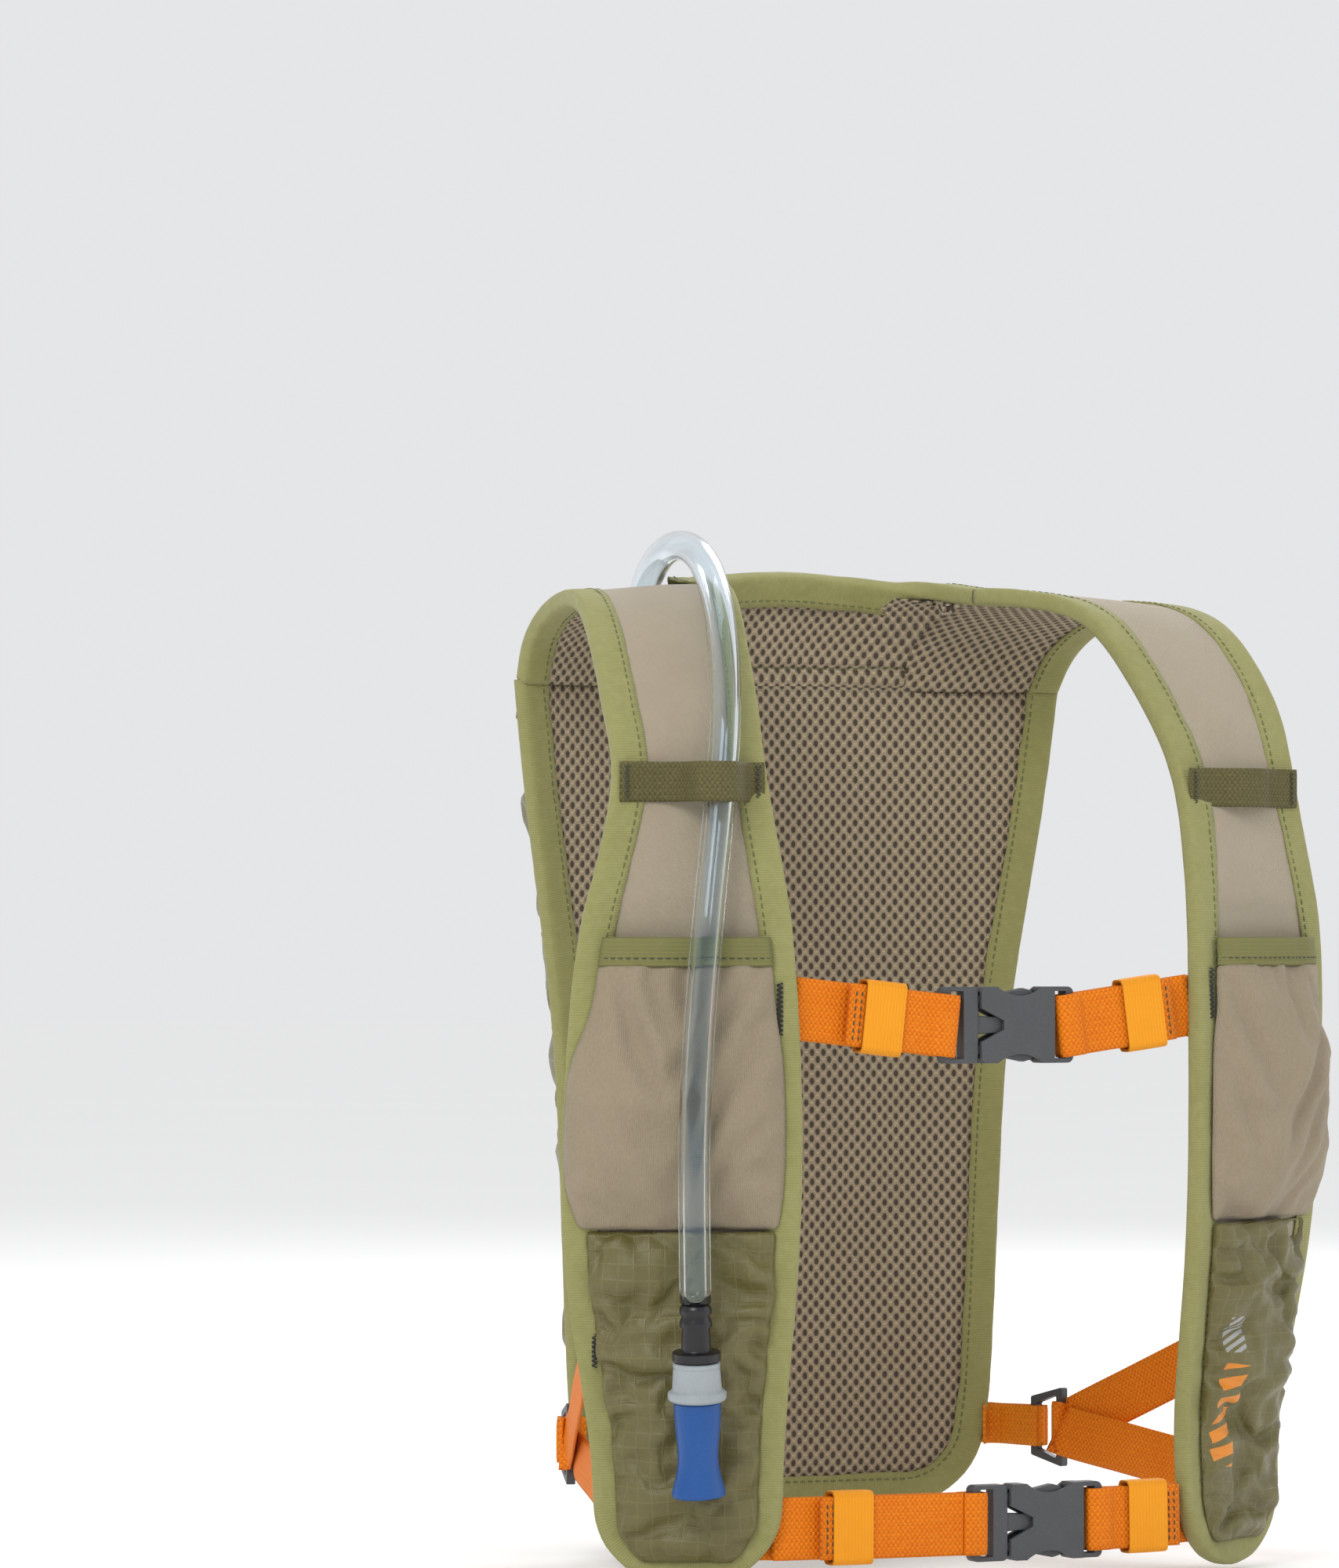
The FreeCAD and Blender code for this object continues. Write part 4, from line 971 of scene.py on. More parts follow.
def station_at(height):
    """The cross-section of the strap's chest part at a height."""
    level = height - SHOULDER_HEIGHT
    for above, below in zip(CHEST, CHEST[1:]):
        if above.centre.z >= level >= below.centre.z:
            share = (above.centre.z - level) / (above.centre.z - below.centre.z)
            inner = above.inner + (below.inner - above.inner) * share
            outer = above.outer + (below.outer - above.outer) * share
            return Station(inner, outer, -UP)
    return end_station(math.asin(min(1.0, (LAST.centre.z - level) / STRAP_END)))


def on_side(rows, side):
    return rows if side > 0 else [other_side(row) for row in rows]


def strap_layer(side, off, inset, shape, columns=22):
    """Rows of points over a strap layer; shape(run, share) lifts it."""
    rows, run = [], 0.0
    stations = STRAP + STRAP_TIP
    for i, station in enumerate(stations):
        if i:
            run += (station.centre - stations[i - 1].centre).length
        margin = inset / station.half if i < len(STRAP) else 2.4 / station.half
        row = []
        for j in range(columns + 1):
            share = (2 * j / columns - 1) * (1 - margin)
            row.append(station.place(share, off + shape(run, share)))
        rows.append(row)
    return on_side(rows, side)


# The tape's folded section: how far in from the edge, and off the inner face.
TAPE_FOLD = [
    (11.0, -0.95), (9.0, -0.78), (6.5, -0.98), (3.0, -1.06), (0.6, -1.02), (-0.5, -0.62),
    (-0.95, 0.6),
    (-1.05, 2.3), (-0.95, 4.0), (-0.5, 5.0), (0.6, 5.32), (3.0, 5.36), (6.5, 5.28), (9.0, 5.10),
    (11.0, 5.24),
    (11.0, 4.66), (9.0, 4.62), (1.2, 4.62), (0.15, 3.6), (0.15, 0.8), (1.2, -0.34), (9.0, -0.34),
    (11.0, -0.38),
]


def bound_edge(name, frames, seed):
    """Tape folded over an edge and sewn down, a little wavy along its lips."""
    rings, run = [], 0.0
    for i, (edge, inward, out) in enumerate(frames):
        if i:
            run += (edge - frames[i - 1][0]).length
        ring = []
        for u, w in TAPE_FOLD:
            lip = max(0.0, (u - 8.0) / 3.0)
            face = 1.0 if w > 2.3 else -1.0
            wide = u + lip * 0.45 * drift(run, seed, 13) + 0.10 * drift(run, seed + 3, 6)
            pucker = 0.20 * drift(run, seed + 7 + face, 4.5) * min(1.0, max(0.0, u) / 3)
            belly = 0.16 * drift(run, seed + 11 + face, 9) * math.exp(-((u - 4) / 3) ** 2)
            ring.append(edge + inward * wide + out * (w + face * (pucker + belly)))
        rings.append(ring)
    return skin(name, rings, BINDING)


def tape_stitches(rows, frames, off_face=5.20, off_back=-0.88, u=8.7, pitch=3.1):
    """Both rows of stitches that hold a tape down."""
    for off, sign in ((off_face, 1), (off_back, -1)):
        line = [edge + inward * u + out * off for edge, inward, out in frames]
        rows.row(line, [out * sign for _, _, out in frames], pitch)


def strap_edge_frames():
    frames = [(s.inner, s.across, s.out) for s in STRAP[PER_SPAN * APEX_STATION:]]
    steps = 30
    for i in range(1, steps):
        angle = math.pi * i / steps
        sideways = -math.cos(angle) * LAST.half
        edge = LAST.centre + LAST.across * sideways - UP * (math.sin(angle) * STRAP_END)
        along = (LAST.across * (math.sin(angle) * LAST.half)
                 - UP * (math.cos(angle) * STRAP_END)).normalized()
        inward = LAST.out.cross(along).normalized()
        if inward.dot(LAST.centre - edge) < 0:
            inward = -inward
        frames.append((edge, inward, LAST.out))
    frames += [(s.outer, -s.across, s.out) for s in reversed(STRAP)]
    return frames


def frames_on_side(frames, side):
    if side > 0:
        return frames
    flip = lambda v: Vector((-v.x, v.y, v.z))
    return [(flip(a), flip(b), flip(c)) for a, b, c in frames]


def strap(side):
    word = "left" if side > 0 else "right"
    seed = 2.0 if side > 0 else 5.0
    pad = lambda run, share: -0.7 * (1 - share ** 4) + 0.35 * drift2(run, 40 * share, seed, 24)
    lining = cloth("strap_lining_" + word, strap_layer(side, 1.6, 0.8, pad), AIR_MESH, wall=3.0)
    place_piece(lining, "pack", "mesh", "strap_mesh_" + word)
    soft = lambda run, share: (0.25
        + 0.8 * (1 - share ** 2) ** 2 * 0.6 * (1 + drift2(run, 30 * share, seed + 1, 30))
                               if run < 230 else 0.0)
    outer = cloth("strap_cloth_" + word, strap_layer(side, 3.9, 0.8, soft), STRAP_CLOTH, wall=0.8)
    place_piece(outer, "pack", "strap_cloth", "strap_fabric_" + word)
    frames = frames_on_side(strap_edge_frames(), side)
    tape = bound_edge("strap_tape_" + word, frames, seed)
    place_piece(tape, "pack", "binding", "strap_binding_" + word)
    sewn = Thread(0.32)
    tape_stitches(sewn, frames)
    seam = []
    station = station_at(126)
    for share in [k / 10 - 0.86 for k in range(18)]:
        seam.append(station.place(share, -0.25 - 0.4 * (1 - share ** 4)))
    seam = seam if side > 0 else other_side(seam)
    out = station.out if side > 0 else other_side([station.out])[0]
    sewn.row(seam, [-out] * len(seam), 3.0)
    place_piece(sewn.piece("strap_stitches_" + word, TAPE_THREAD), "pack", "binding")


strap(1)
strap(-1)


# --- yoke, neck and back panel ------------------------------------------------------------
BACK_DEPTH = 76.0
BACK_CURVE = 0.0016


def back_depth(x):
    return BACK_DEPTH - BACK_CURVE * x * x


def back_point(x, height):
    return at(x, back_depth(x), height)


def back_out(x):
    return Vector((2 * BACK_CURVE * x, 1, 0)).normalized()


# Sections of the yoke from the back seam to the neck: y and height, by distance off centre.
YOKE_SECTIONS = {
    0.0: [(76.0, 318.2), (74.6, 328), (71.8, 338.5), (68, 348.5), (63.2, 357.2)],
    0.4: [(75.3, 318.2), (74, 328), (71, 338.5), (66.5, 348), (61.8, 356.4)],
    0.75: [(73.6, 318.2), (69.5, 327.5), (65.5, 338), (56, 347.5), (51.5, 352.8)],
    1.0: [(71.7, 318.2), (67.3, 327), (58, 337.5), (35, 348), (31.5, 349.6)],
}


def yoke_lines(per_span=8):
    """The yoke's inner surface: lines from the seam up to the neck, side by side."""
    shares = [-1.0, -0.75, -0.4, 0.0, 0.4, 0.75, 1.0]
    lines = [smooth_line([at(s * (53.3 if abs(s) == 1.0 else 51.7), *p)
                          for p in YOKE_SECTIONS[abs(s)]], per_span)
             for s in shares]
    rows = []
    for i in range(len(lines[0])):
        rows.append(smooth_line([line[i] for line in lines], 7))
    return rows


YOKE = yoke_lines()


def yoke_out(i, j):
    along = YOKE[min(i + 1, len(YOKE) - 1)][j] - YOKE[max(i - 1, 0)][j]
    across = YOKE[i][min(j + 1, len(YOKE[0]) - 1)] - YOKE[i][max(j - 1, 0)]
    return along.cross(across).normalized()


def channel(height):
    """The sewn channel across the top of the back: how deep its two rows pull in."""
    level = height + SHOULDER_HEIGHT
    rows = sum(math.exp(-((level - row) / 1.5) ** 2) for row in (318.5, 327.0))
    return 1.5 * rows - 0.5 * math.exp(-((level - 322.7) / 2.5) ** 2)


def yoke_layer(off, shape):
    rows = []
    for i, row in enumerate(YOKE):
        rows.append([p + yoke_out(i, j) * (off + shape(p)) for j, p in enumerate(row)])
    return rows


NECK_EDGE = [
    (54, 15, 350), (52.5, 30, 351.5), (46, 44, 354), (33, 55, 357), (17, 60.5, 359), (0, 62, 360),
    (-17, 60.5, 359), (-33, 55, 357), (-46, 44, 354), (-52.5, 30, 351.5), (-54, 15, 350),
]


def neck_frames():
    line = smooth_line([at(*p) for p in NECK_EDGE], 8)
    frames = []
    for p, along in zip(line, tangents(line)):
        fall = smooth_value([(0, 0.43), (21, 0.49), (39, 0.66), (54, 0.90)], abs(p.x))
        side = min(1.0, max(0.0, (abs(p.x) - 38) / 12))
        away = Vector((0, fall,
            -math.sqrt(1 - fall * fall))).lerp(Vector((math.copysign(1, p.x), 0, 0)), side)
        out = along.cross(away).normalized()
        if out.z + out.y < 0:
            out = -out
        inward = out.cross(along).normalized()
        if inward.dot(away) < 0:
            inward = -inward
        frames.append((p, inward, out))
    return frames[1:-1]


BACK_SIDES = [(320.3, 111.2), (278, 106), (234, 99), (191, 93), (147, 90), (100, 88), (60, 86),
              (44, 84)]
BACK_BOTTOM = 13.0
CORNER = 31.0


def back_outline(inset=0.0):
    """The back panel's left edge from the seam to its bottom, moved in by inset."""
    side = smooth_line([Vector((half, 0, height)) for height, half in BACK_SIDES], 10)
    points = [(p.x - inset, p.z) for p in side]
    radius = CORNER - inset
    for i in range(1, 15):
        angle = math.pi / 2 * i / 14
        points.append((84 - inset - radius * (1 - math.cos(angle)),
                       BACK_BOTTOM + CORNER - radius * math.sin(angle)))
    return points


def back_layer(off, inset, shape, columns=44):
    rows = []
    for half, height in back_outline(inset):
        row = []
        for j in range(columns + 1):
            x = half * (2 * j / columns - 1)
            row.append(back_point(x, height) + back_out(x) * (off + shape(x, height)))
        rows.append(row)
    return rows


def back_edge_frames():
    half = back_outline() + [(44.0, BACK_BOTTOM), (35.0, BACK_BOTTOM), (26.0, BACK_BOTTOM),
                             (17.0, BACK_BOTTOM), (8.0, BACK_BOTTOM), (0.0, BACK_BOTTOM)]
    line = half + [(-x, height) for x, height in reversed(half[:-1])]
    line = [Vector((x, height, 0)) for x, height in line]
    line = [(p.x, p.y) for p in evenly(line, 4.0)]
    frames = []
    for i, (x, height) in enumerate(line):
        a, b = line[max(i - 1, 0)], line[min(i + 1, len(line) - 1)]
        along = (back_point(*b) - back_point(*a)).normalized()
        out = back_out(x)
        inward = along.cross(out).normalized()
        if inward.dot(Vector((0, BACK_DEPTH, 200 - SHOULDER_HEIGHT)) - back_point(x, height)) < 0:
            inward = -inward
        frames.append((back_point(x, height), inward, out))
    return frames


def back_and_yoke():
    side = [(height, half) for half, height in back_outline()]

    def quilt(x, height):
        margin = min(smooth_value(side, height) - abs(x), height - BACK_BOTTOM) - 11
        inner = min(1.0, max(0.0, margin / 9))
        swell = 0.8 * drift2(x, height, 3, 55) - 0.9 * max(0.0, 1 - (x / 112) ** 4)
        swell += creases(x, height,
                         [((-60, 40), (30, 150), 1.2, 14), ((70, 60), (10, 210), 1.0, 16)])
        return channel(height - SHOULDER_HEIGHT) + swell * inner + 0.35 * (1 - inner)

    neck_line = [edge for edge, _, _ in neck_frames()]

    def collar_shape(p):
        near = min((p - q).length for q in neck_line)
        tucked = 1 - min(1.0, max(0.0, (near - 10) / 6))
        return channel(p.z) * (1 - tucked) + 0.3 * drift2(p.x, p.z, 6,
                                                          20) * (1 - tucked) + 0.45 * tucked

    lining = cloth("back_lining", back_layer(1.6, 1.4, quilt), AIR_MESH, wall=3.0)
    place_piece(lining, "pack", "mesh", "back_mesh")
    plain = lambda x, height: 0.0
    outer = cloth("back_cloth", back_layer(3.9, 1.4, plain, 24), STRAP_CLOTH, wall=0.8)
    place_piece(outer, "pack", "strap_cloth", "back_fabric")

    collar = cloth("yoke_lining", yoke_layer(1.6, collar_shape),
                   AIR_MESH, wall=3.0)
    place_piece(collar, "pack", "mesh", "yoke_mesh")
    shell = cloth("yoke_cloth", yoke_layer(3.9, lambda p: 0.5 * drift2(p.x, p.z, 8, 26)),
                  STRAP_CLOTH, wall=0.8)
    place_piece(shell, "pack", "strap_cloth", "yoke_fabric")

    neck = neck_frames()
    place_piece(bound_edge("neck_tape", neck, 9.0), "pack", "binding", "neck_binding")
    edge = back_edge_frames()
    place_piece(bound_edge("back_tape", edge, 14.0), "pack", "binding", "back_binding")
    sewn = Thread(0.32)
    tape_stitches(sewn, neck)
    tape_stitches(sewn, edge)
    for level in (318.5, 327.0):
        line, ups = [], []
        for j in range(len(YOKE[0])):
            i = min(range(len(YOKE)), key=lambda k: abs(YOKE[k][j].z + SHOULDER_HEIGHT - level))
            line.append(YOKE[i][j] - yoke_out(i, j) * 0.1 + yoke_out(i, j) * 1.3)
            ups.append(-yoke_out(i, j))
        sewn.row(line, ups, 3.0)
    place_piece(sewn.piece("back_stitches", TAPE_THREAD), "pack", "binding")


back_and_yoke()


# --- bag, flap and bladder ----------------------------------------------------------------
BAG_SECTIONS = [
    (316, 96, 23), (300, 100, 28), (278, 101, 31), (234, 95, 33), (191, 89, 33),
    (147, 86, 33), (100, 84, 32), (64, 82, 27), (40, 76, 18), (24, 62, 7), (18, 52, 2.5),
]
BAG_BASE = FACE + PLAY


def bag_line(height, columns, wider=0.0, deeper=0.0):
    """A row of the bag's outside at a height, from one sewn side round to the other."""
    half = smooth_value([(h, w) for h, w, _ in BAG_SECTIONS], height) + wider
    depth = smooth_value([(h, d) for h, _, d in BAG_SECTIONS], height) + deeper
    row = []
    for j in range(columns + 1):
        share = math.sin(math.pi / 2 * (2 * j / columns - 1))
        swell = (1 - abs(share) ** 3) ** 0.6
        x = half * share
        row.append(back_point(x, height) + back_out(x) * (BAG_BASE + 0.4 + (depth - 0.4) * swell))
    return row


def heights(top, bottom, step):
    count = max(2, round((top - bottom) / step))
    return [top + (bottom - top) * i / count for i in range(count + 1)]


BAG_FOLDS = [
    ((-92, 300), (-48, 262), 5.6, 6), ((-95, 282), (-58, 230), 5.0, 6),
    ((92, 298), (40, 236), 6.4, 7),
    ((95, 276), (60, 206), 5.4, 6), ((30, 268), (74, 190), 4.4, 8),
    ((-40, 252), (-86, 186), 4.0, 7),
    ((88, 214), (54, 156), 4.6, 6), ((90, 170), (50, 116), 4.2, 7),
    ((-90, 180), (-56, 130), 4.0, 6),
    ((86, 122), (38, 68), 4.8, 8), ((-84, 114), (-42, 60), 4.2, 7), ((24, 62), (60, 36), 3.2, 6),
    ((-20, 58), (-62, 40), 3.2, 6), ((4, 284), (-22, 224), 2.6, 7),
    ((-88, 236), (-64, 206), 3.4, 5),
    ((91, 248), (70, 226), 3.6, 4), ((88, 146), (66, 132), 3.0, 4), ((-84, 84), (-60, 76), 3.0, 4),
]


def bag():
    rows, columns = [], 52
    levels = heights(315, 19, 4.2)
    for height in levels:
        row = bag_line(height, columns)
        for j, p in enumerate(row):
            share = abs(2 * j / columns - 1)
            pull = drift(height + (40 if p.x > 0 else 0), 23, 5.5) * share ** 4 * (1 - share ** 14)
            lift = creases(p.x, height, BAG_FOLDS) + 2.6 * pull
            lift += (2.0 * drift2(p.x, height, 21, 34) + 0.8 * drift2(p.x, height, 22, 13)) * (1
                - share ** 6)
            lift *= 1 - 0.85 * min(1.0, max(0.0, (height - 256 - 30 * share * share) / 14))
            row[j] = p + back_out(p.x) * lift
        rows.append(row)
    piece = cloth("bag", rows, RIPSTOP_BAG, toward=Vector((0, 1, 0)))
    pins = sewn_pins(columns + 1, len(levels))
    for i, height in enumerate(levels):
        for j in range(columns + 1):
            share = 2 * j / columns - 1
            if height > 266 + 30 * share * share:
                pins[i * (columns + 1) + j] = 1.0
    gather(piece, pins, 0.13, 0.75, 7.0, frames=22, stiff=0.06)
    finish_cloth(piece, 0.8, 1)
    place_piece(piece, "pack", "ripstop", "bag_shell")

    hem = []
    for height in heights(317.5, 307, 2.1):
        row = bag_line(height, 72, wider=0.6, deeper=1.0 + (316 - height) * 0.08)
        hem.append([p + back_out(p.x) * 0.35 * drift(p.x, 31, 5) for p in row])
    band = cloth("bag_mouth_hem", hem, OLIVE_ELASTIC, wall=1.1)
    place_piece(band, "pack", "olive_elastic", "bag_mouth_elastic")
    sewn = Thread(0.28)
    for level in (309.0, 315.5):
        line = [p + back_out(p.x) * 0.75 for p in bag_line(level, 60, wider=0.6, deeper=1.2)]
        sewn.row(line, [back_out(p.x) for p in line], 3.0)
    place_piece(sewn.piece("bag_mouth_stitches", DARK_THREAD), "pack", "olive_elastic")


FLAP_HINGE = (84.5, 334.0)
FLAP_HALF = 90.0


def flap_profile(x, lift, per_span=6):
    """The flap's section at x, from its stitched edge over the mouth and down the bag."""
    droop = (abs(x) / FLAP_HALF) ** 2
    y0, z0 = FLAP_HINGE
    bottom = 272 + 36 * droop
    back = back_depth(x) - BACK_DEPTH
    line = [
        (y0 + 0.5, z0), (y0 + 9, z0 + 0.6), (back + 103, 330 - 2 * droop),
        (back + 113.5, 318 - droop), (back + 118, (bottom + 318) / 2), (back + 119.5, bottom),
    ]
    points = smooth_line([at(x, y, z) for y, z in line], per_span)
    return [p + ALONG_X.cross(t) * lift for p, t in zip(points, tangents(points))]


FLAP_FOLDS = [
    ((-70, 4), (-38, 48), 2.9, 6), ((-30, 2), (-46, 36), 2.2, 5), ((10, 2), (28, 44), 2.4, 6),
    ((62, 4), (38, 52), 3.0, 7), ((80, 10), (62, 42), 2.4, 5), ((-84, 8), (-72, 32), 2.2, 5),
    ((-6, 30), (-22, 62), 1.6, 7), ((44, 2), (52, 22), 1.8, 4), ((-54, 2), (-58, 18), 1.8, 4),
]


def flap():
    columns = 60
    lines = []
    for j in range(columns + 1):
        x = FLAP_HALF * (2 * j / columns - 1)
        line = flap_profile(x, 0.5)
        run = [0.0]
        for a, b in zip(line, line[1:]):
            run.append(run[-1] + (b - a).length)
        moved = []
        for p, t, s in zip(line, tangents(line), run):
            free = min(1.0, s / 12)
            wave = creases(x, s, FLAP_FOLDS) + 0.9 * drift2(x, s, 41, 26) + 0.5 * drift(x, 43,
                9) * (1 - s / 80)
            moved.append(p + ALONG_X.cross(t) * wave * free)
        lines.append(moved)
    rows = [list(row) for row in zip(*lines)]
    piece = cloth("flap", rows, RIPSTOP, toward=Vector((0, 1, 0.4)))
    pins = sewn_pins(columns + 1, len(rows), "t")
    pins.update({i: 0.5 for i in sewn_pins(columns + 1, len(rows), "lrb") if i not in pins})
    gather(piece, pins, 0.03, 0.25, 2.2, frames=14, stiff=0.5)
    piece_rows = [[v.co / MM for v
        in piece.data.vertices[i * (columns + 1):(i + 1) * (columns + 1)]]
                  for i in range(len(rows))]
    finish_cloth(piece, 0.8, 1)
    place_piece(piece, "flap", "ripstop", "flap_panel")

    edge = piece_rows[-1]
    above = piece_rows[-3]
    out = [ALONG_X.cross((a - b).normalized()) * -1 for a, b in zip(above, edge)]
    out = [o if o.y > 0 else -o for o in out]
    turn_up = [(a - b).normalized() for a, b in zip(above, edge)]
    hem = []
    for rise, off in ((-0.6, 0.5), (-0.5, 1.1), (0.5, 1.25), (3.5, 1.3), (6.2, 1.25), (7.0, 1.05)):
        hem.append([p + t * rise + o * off for p, t, o in zip(edge, turn_up, out)])
    band = cloth("flap_hem_fold", hem, RIPSTOP, wall=0.6)
    place_piece(band, "flap", "ripstop", "flap_hem")
    sewn = Thread(0.28)
    sewn.row([p + t * 5.4 + o * 1.6 for p, t, o in zip(edge, turn_up, out)], out, 3.0)
    top = [p + Vector((0, 0, 1)) * 0.55 for p in piece_rows[2]]
    sewn.row(top, [UP] * len(top), 3.0)
    place_piece(sewn.piece("flap_stitches", DARK_THREAD), "flap", "ripstop")

    corners = [at(-32, 121.0, 272.6), at(-15, 121.4, 271.4), at(-22.5, 117.4, 258.5)]
    rows = []
    for i in range(7):
        a = corners[0].lerp(corners[2], i / 6.6)
        b = corners[1].lerp(corners[2], i / 6.6)
        rows.append([a.lerp(b, j / 6) for j in range(7)])
    tab = cloth("flap_corner_tab", rows, RIPSTOP, wall=1.2)
    place_piece(tab, "flap", "ripstop", "flap_tab")
    sewn = Thread(0.26)
    inner = [c.lerp(sum(corners, Vector()) / 3, 0.22) + Vector((0, 0.75, 0)) for c in corners]
    for a, b in zip(inner, inner[1:] + inner[:1]):
        sewn.row([a, b], [Vector((0, 1, 0))] * 2, 2.4)
    place_piece(sewn.piece("flap_tab_stitches", DARK_THREAD), "flap", "ripstop")


PORT_X = -58.0


def top_strip():
    """The strip over the bag's mouth, with a slot where the tube comes out."""
    front = [(-90, 63), (-70, 63), (-52, 72), (-30, 77.5), (30, 77.5), (52, 72), (70, 63),
             (90, 63)]
    xs = [-90 + 2.5 * i for i in range(73)]
    points, faces = [], []
    wide = len(xs)
    for i in range(9):
        for x in xs:
            low = smooth_value(front, x)
            y = low + (84.5 - low) * i / 8
            points.append(at(x, y, 333.6 + 0.25 * drift2(x, y, 51, 14)))
    for i in range(8):
        for j in range(wide - 1):
            middle = (points[i * wide + j] + points[(i + 1) * wide + j + 1]) * 0.5
            in_slot = abs(middle.x - PORT_X) < 6.4 and 66.5 < middle.y < 83
            if not in_slot:
                a = i * wide + j
                faces.append((a, a + 1, a + wide + 1, a + wide))
    piece = new_object("bag_top", points, faces, RIPSTOP)
    paint_uv(piece, [(points[i].x * MM, points[i].y * MM) for face in faces for i in face])
    finish_cloth(piece, 0.9)
    place_piece(piece, "pack", "ripstop", "bag_top_strip")


def bladder():
    sections = [
        (292, 60, 4), (284, 70, 8), (262, 73, 12), (200, 73, 13.5), (130, 72, 12.5),
        (92, 70, 11.2),
        (62, 66, 9), (50, 58, 6), (45, 52, 3),
    ]
    base = FACE + PLAY + 0.9 + 1.2
    rings = []
    for height in heights(292, 45, 6):
        half = smooth_value([(h, w) for h, w, _ in sections], height) - 1.5
        thick = smooth_value([(h, t) for h, _, t in sections], height)
        ring = []
        for k in range(40):
            way = math.sin(2 * math.pi * k / 40)
            x = half * math.cos(2 * math.pi * k / 40)
            swell = 0.5 + 0.5 * math.copysign(abs(way) ** 0.7, way)
            dent = 0.5 * drift2(x, height, 61, 22) * max(0.0, way)
            ring.append(back_point(x, height) + back_out(x) * (base + thick * swell + dent))
        rings.append(ring)
    piece = skin("water_bladder", rings, BLADDER_FILM)
    place_piece(piece, "pack", "bladder_film", "bladder")
    depth = BACK_DEPTH + base + 0.7
    line = [at(0, depth + 0.3 * math.sin(i), 292.8 + i * 4.6) for i in range(9)]
    strap_piece = ribbon("bladder_hanging_tab", line, [ALONG_X] * len(line), 18, 1.2, OLIVE_WEB)
    place_piece(strap_piece, "pack", "olive_web", "bladder_hanger")


bag()
flap()
top_strip()
bladder()


# --- strap pockets and loops --------------------------------------------------------------
STRETCH_POCKET = [
    (216, 8), (205, 10), (190, 12), (170, 14), (150, 12.5), (138, 8.5), (128, 3.5), (124.5, 1.8),
]
LOWER_POCKET = [
    (123, 2.2), (112, 6), (95, 8), (70, 9), (45, 8.5), (26, 7), (14, 4.5), (9, 2.2),
]
POCKET_INSET = 7.5


def pocket_row(height, swell, columns, wall, inset=POCKET_INSET, lift=None, bulge=0.0):
    station = station_at(height)
    edge = (station.half - inset) / station.half
    row = []
    for j in range(columns + 1):
        share = 2 * j / columns - 1
        crown = (1 - abs(share) ** 2.6) ** 0.7
        high = FACE + PLAY + wall / 2 + max(0.0, swell - wall) * crown
        if lift is not None:
            high += lift(share * station.half, height, crown)
        wide = share * edge + bulge * max(0.0, share) ** 2 - 0.3 * bulge * max(0.0, -share) ** 2
        row.append(station.place(wide, high))
    return row


# Fold lines in the stretch pocket: across the strap from its middle, and height.
LEFT_POCKET_FOLDS = [
    ((33, 198), (-8, 150), 3.0, 4.5), ((32, 178), (2, 140), 2.8, 4.5),
    ((-32, 210), (-12, 168), 2.2, 4.5),
    ((30, 160), (12, 134), 2.2, 4), ((-30, 176), (-20, 138), 1.8, 4),
    ((20, 212), (24, 184), 1.6, 3.5),
    ((2, 214), (6, 190), 1.4, 3.5),
]
RIGHT_POCKET_FOLDS = [
    ((-33, 198), (4, 138), 3.2, 4.5), ((-32, 186), (-10, 134), 2.6, 4),
    ((30, 212), (10, 170), 2.2, 4.5),
    ((-30, 214), (-12, 188), 2.0, 4), ((32, 162), (18, 130), 2.2, 4.5),
    ((-20, 208), (6, 174), 1.8, 4),
    ((-33, 164), (-22, 150), 2.4, 3.5), ((2, 214), (-2, 196), 1.4, 3),
]


def pocket_pins(columns, count):
    pins = sewn_pins(columns + 1, count)
    return pins


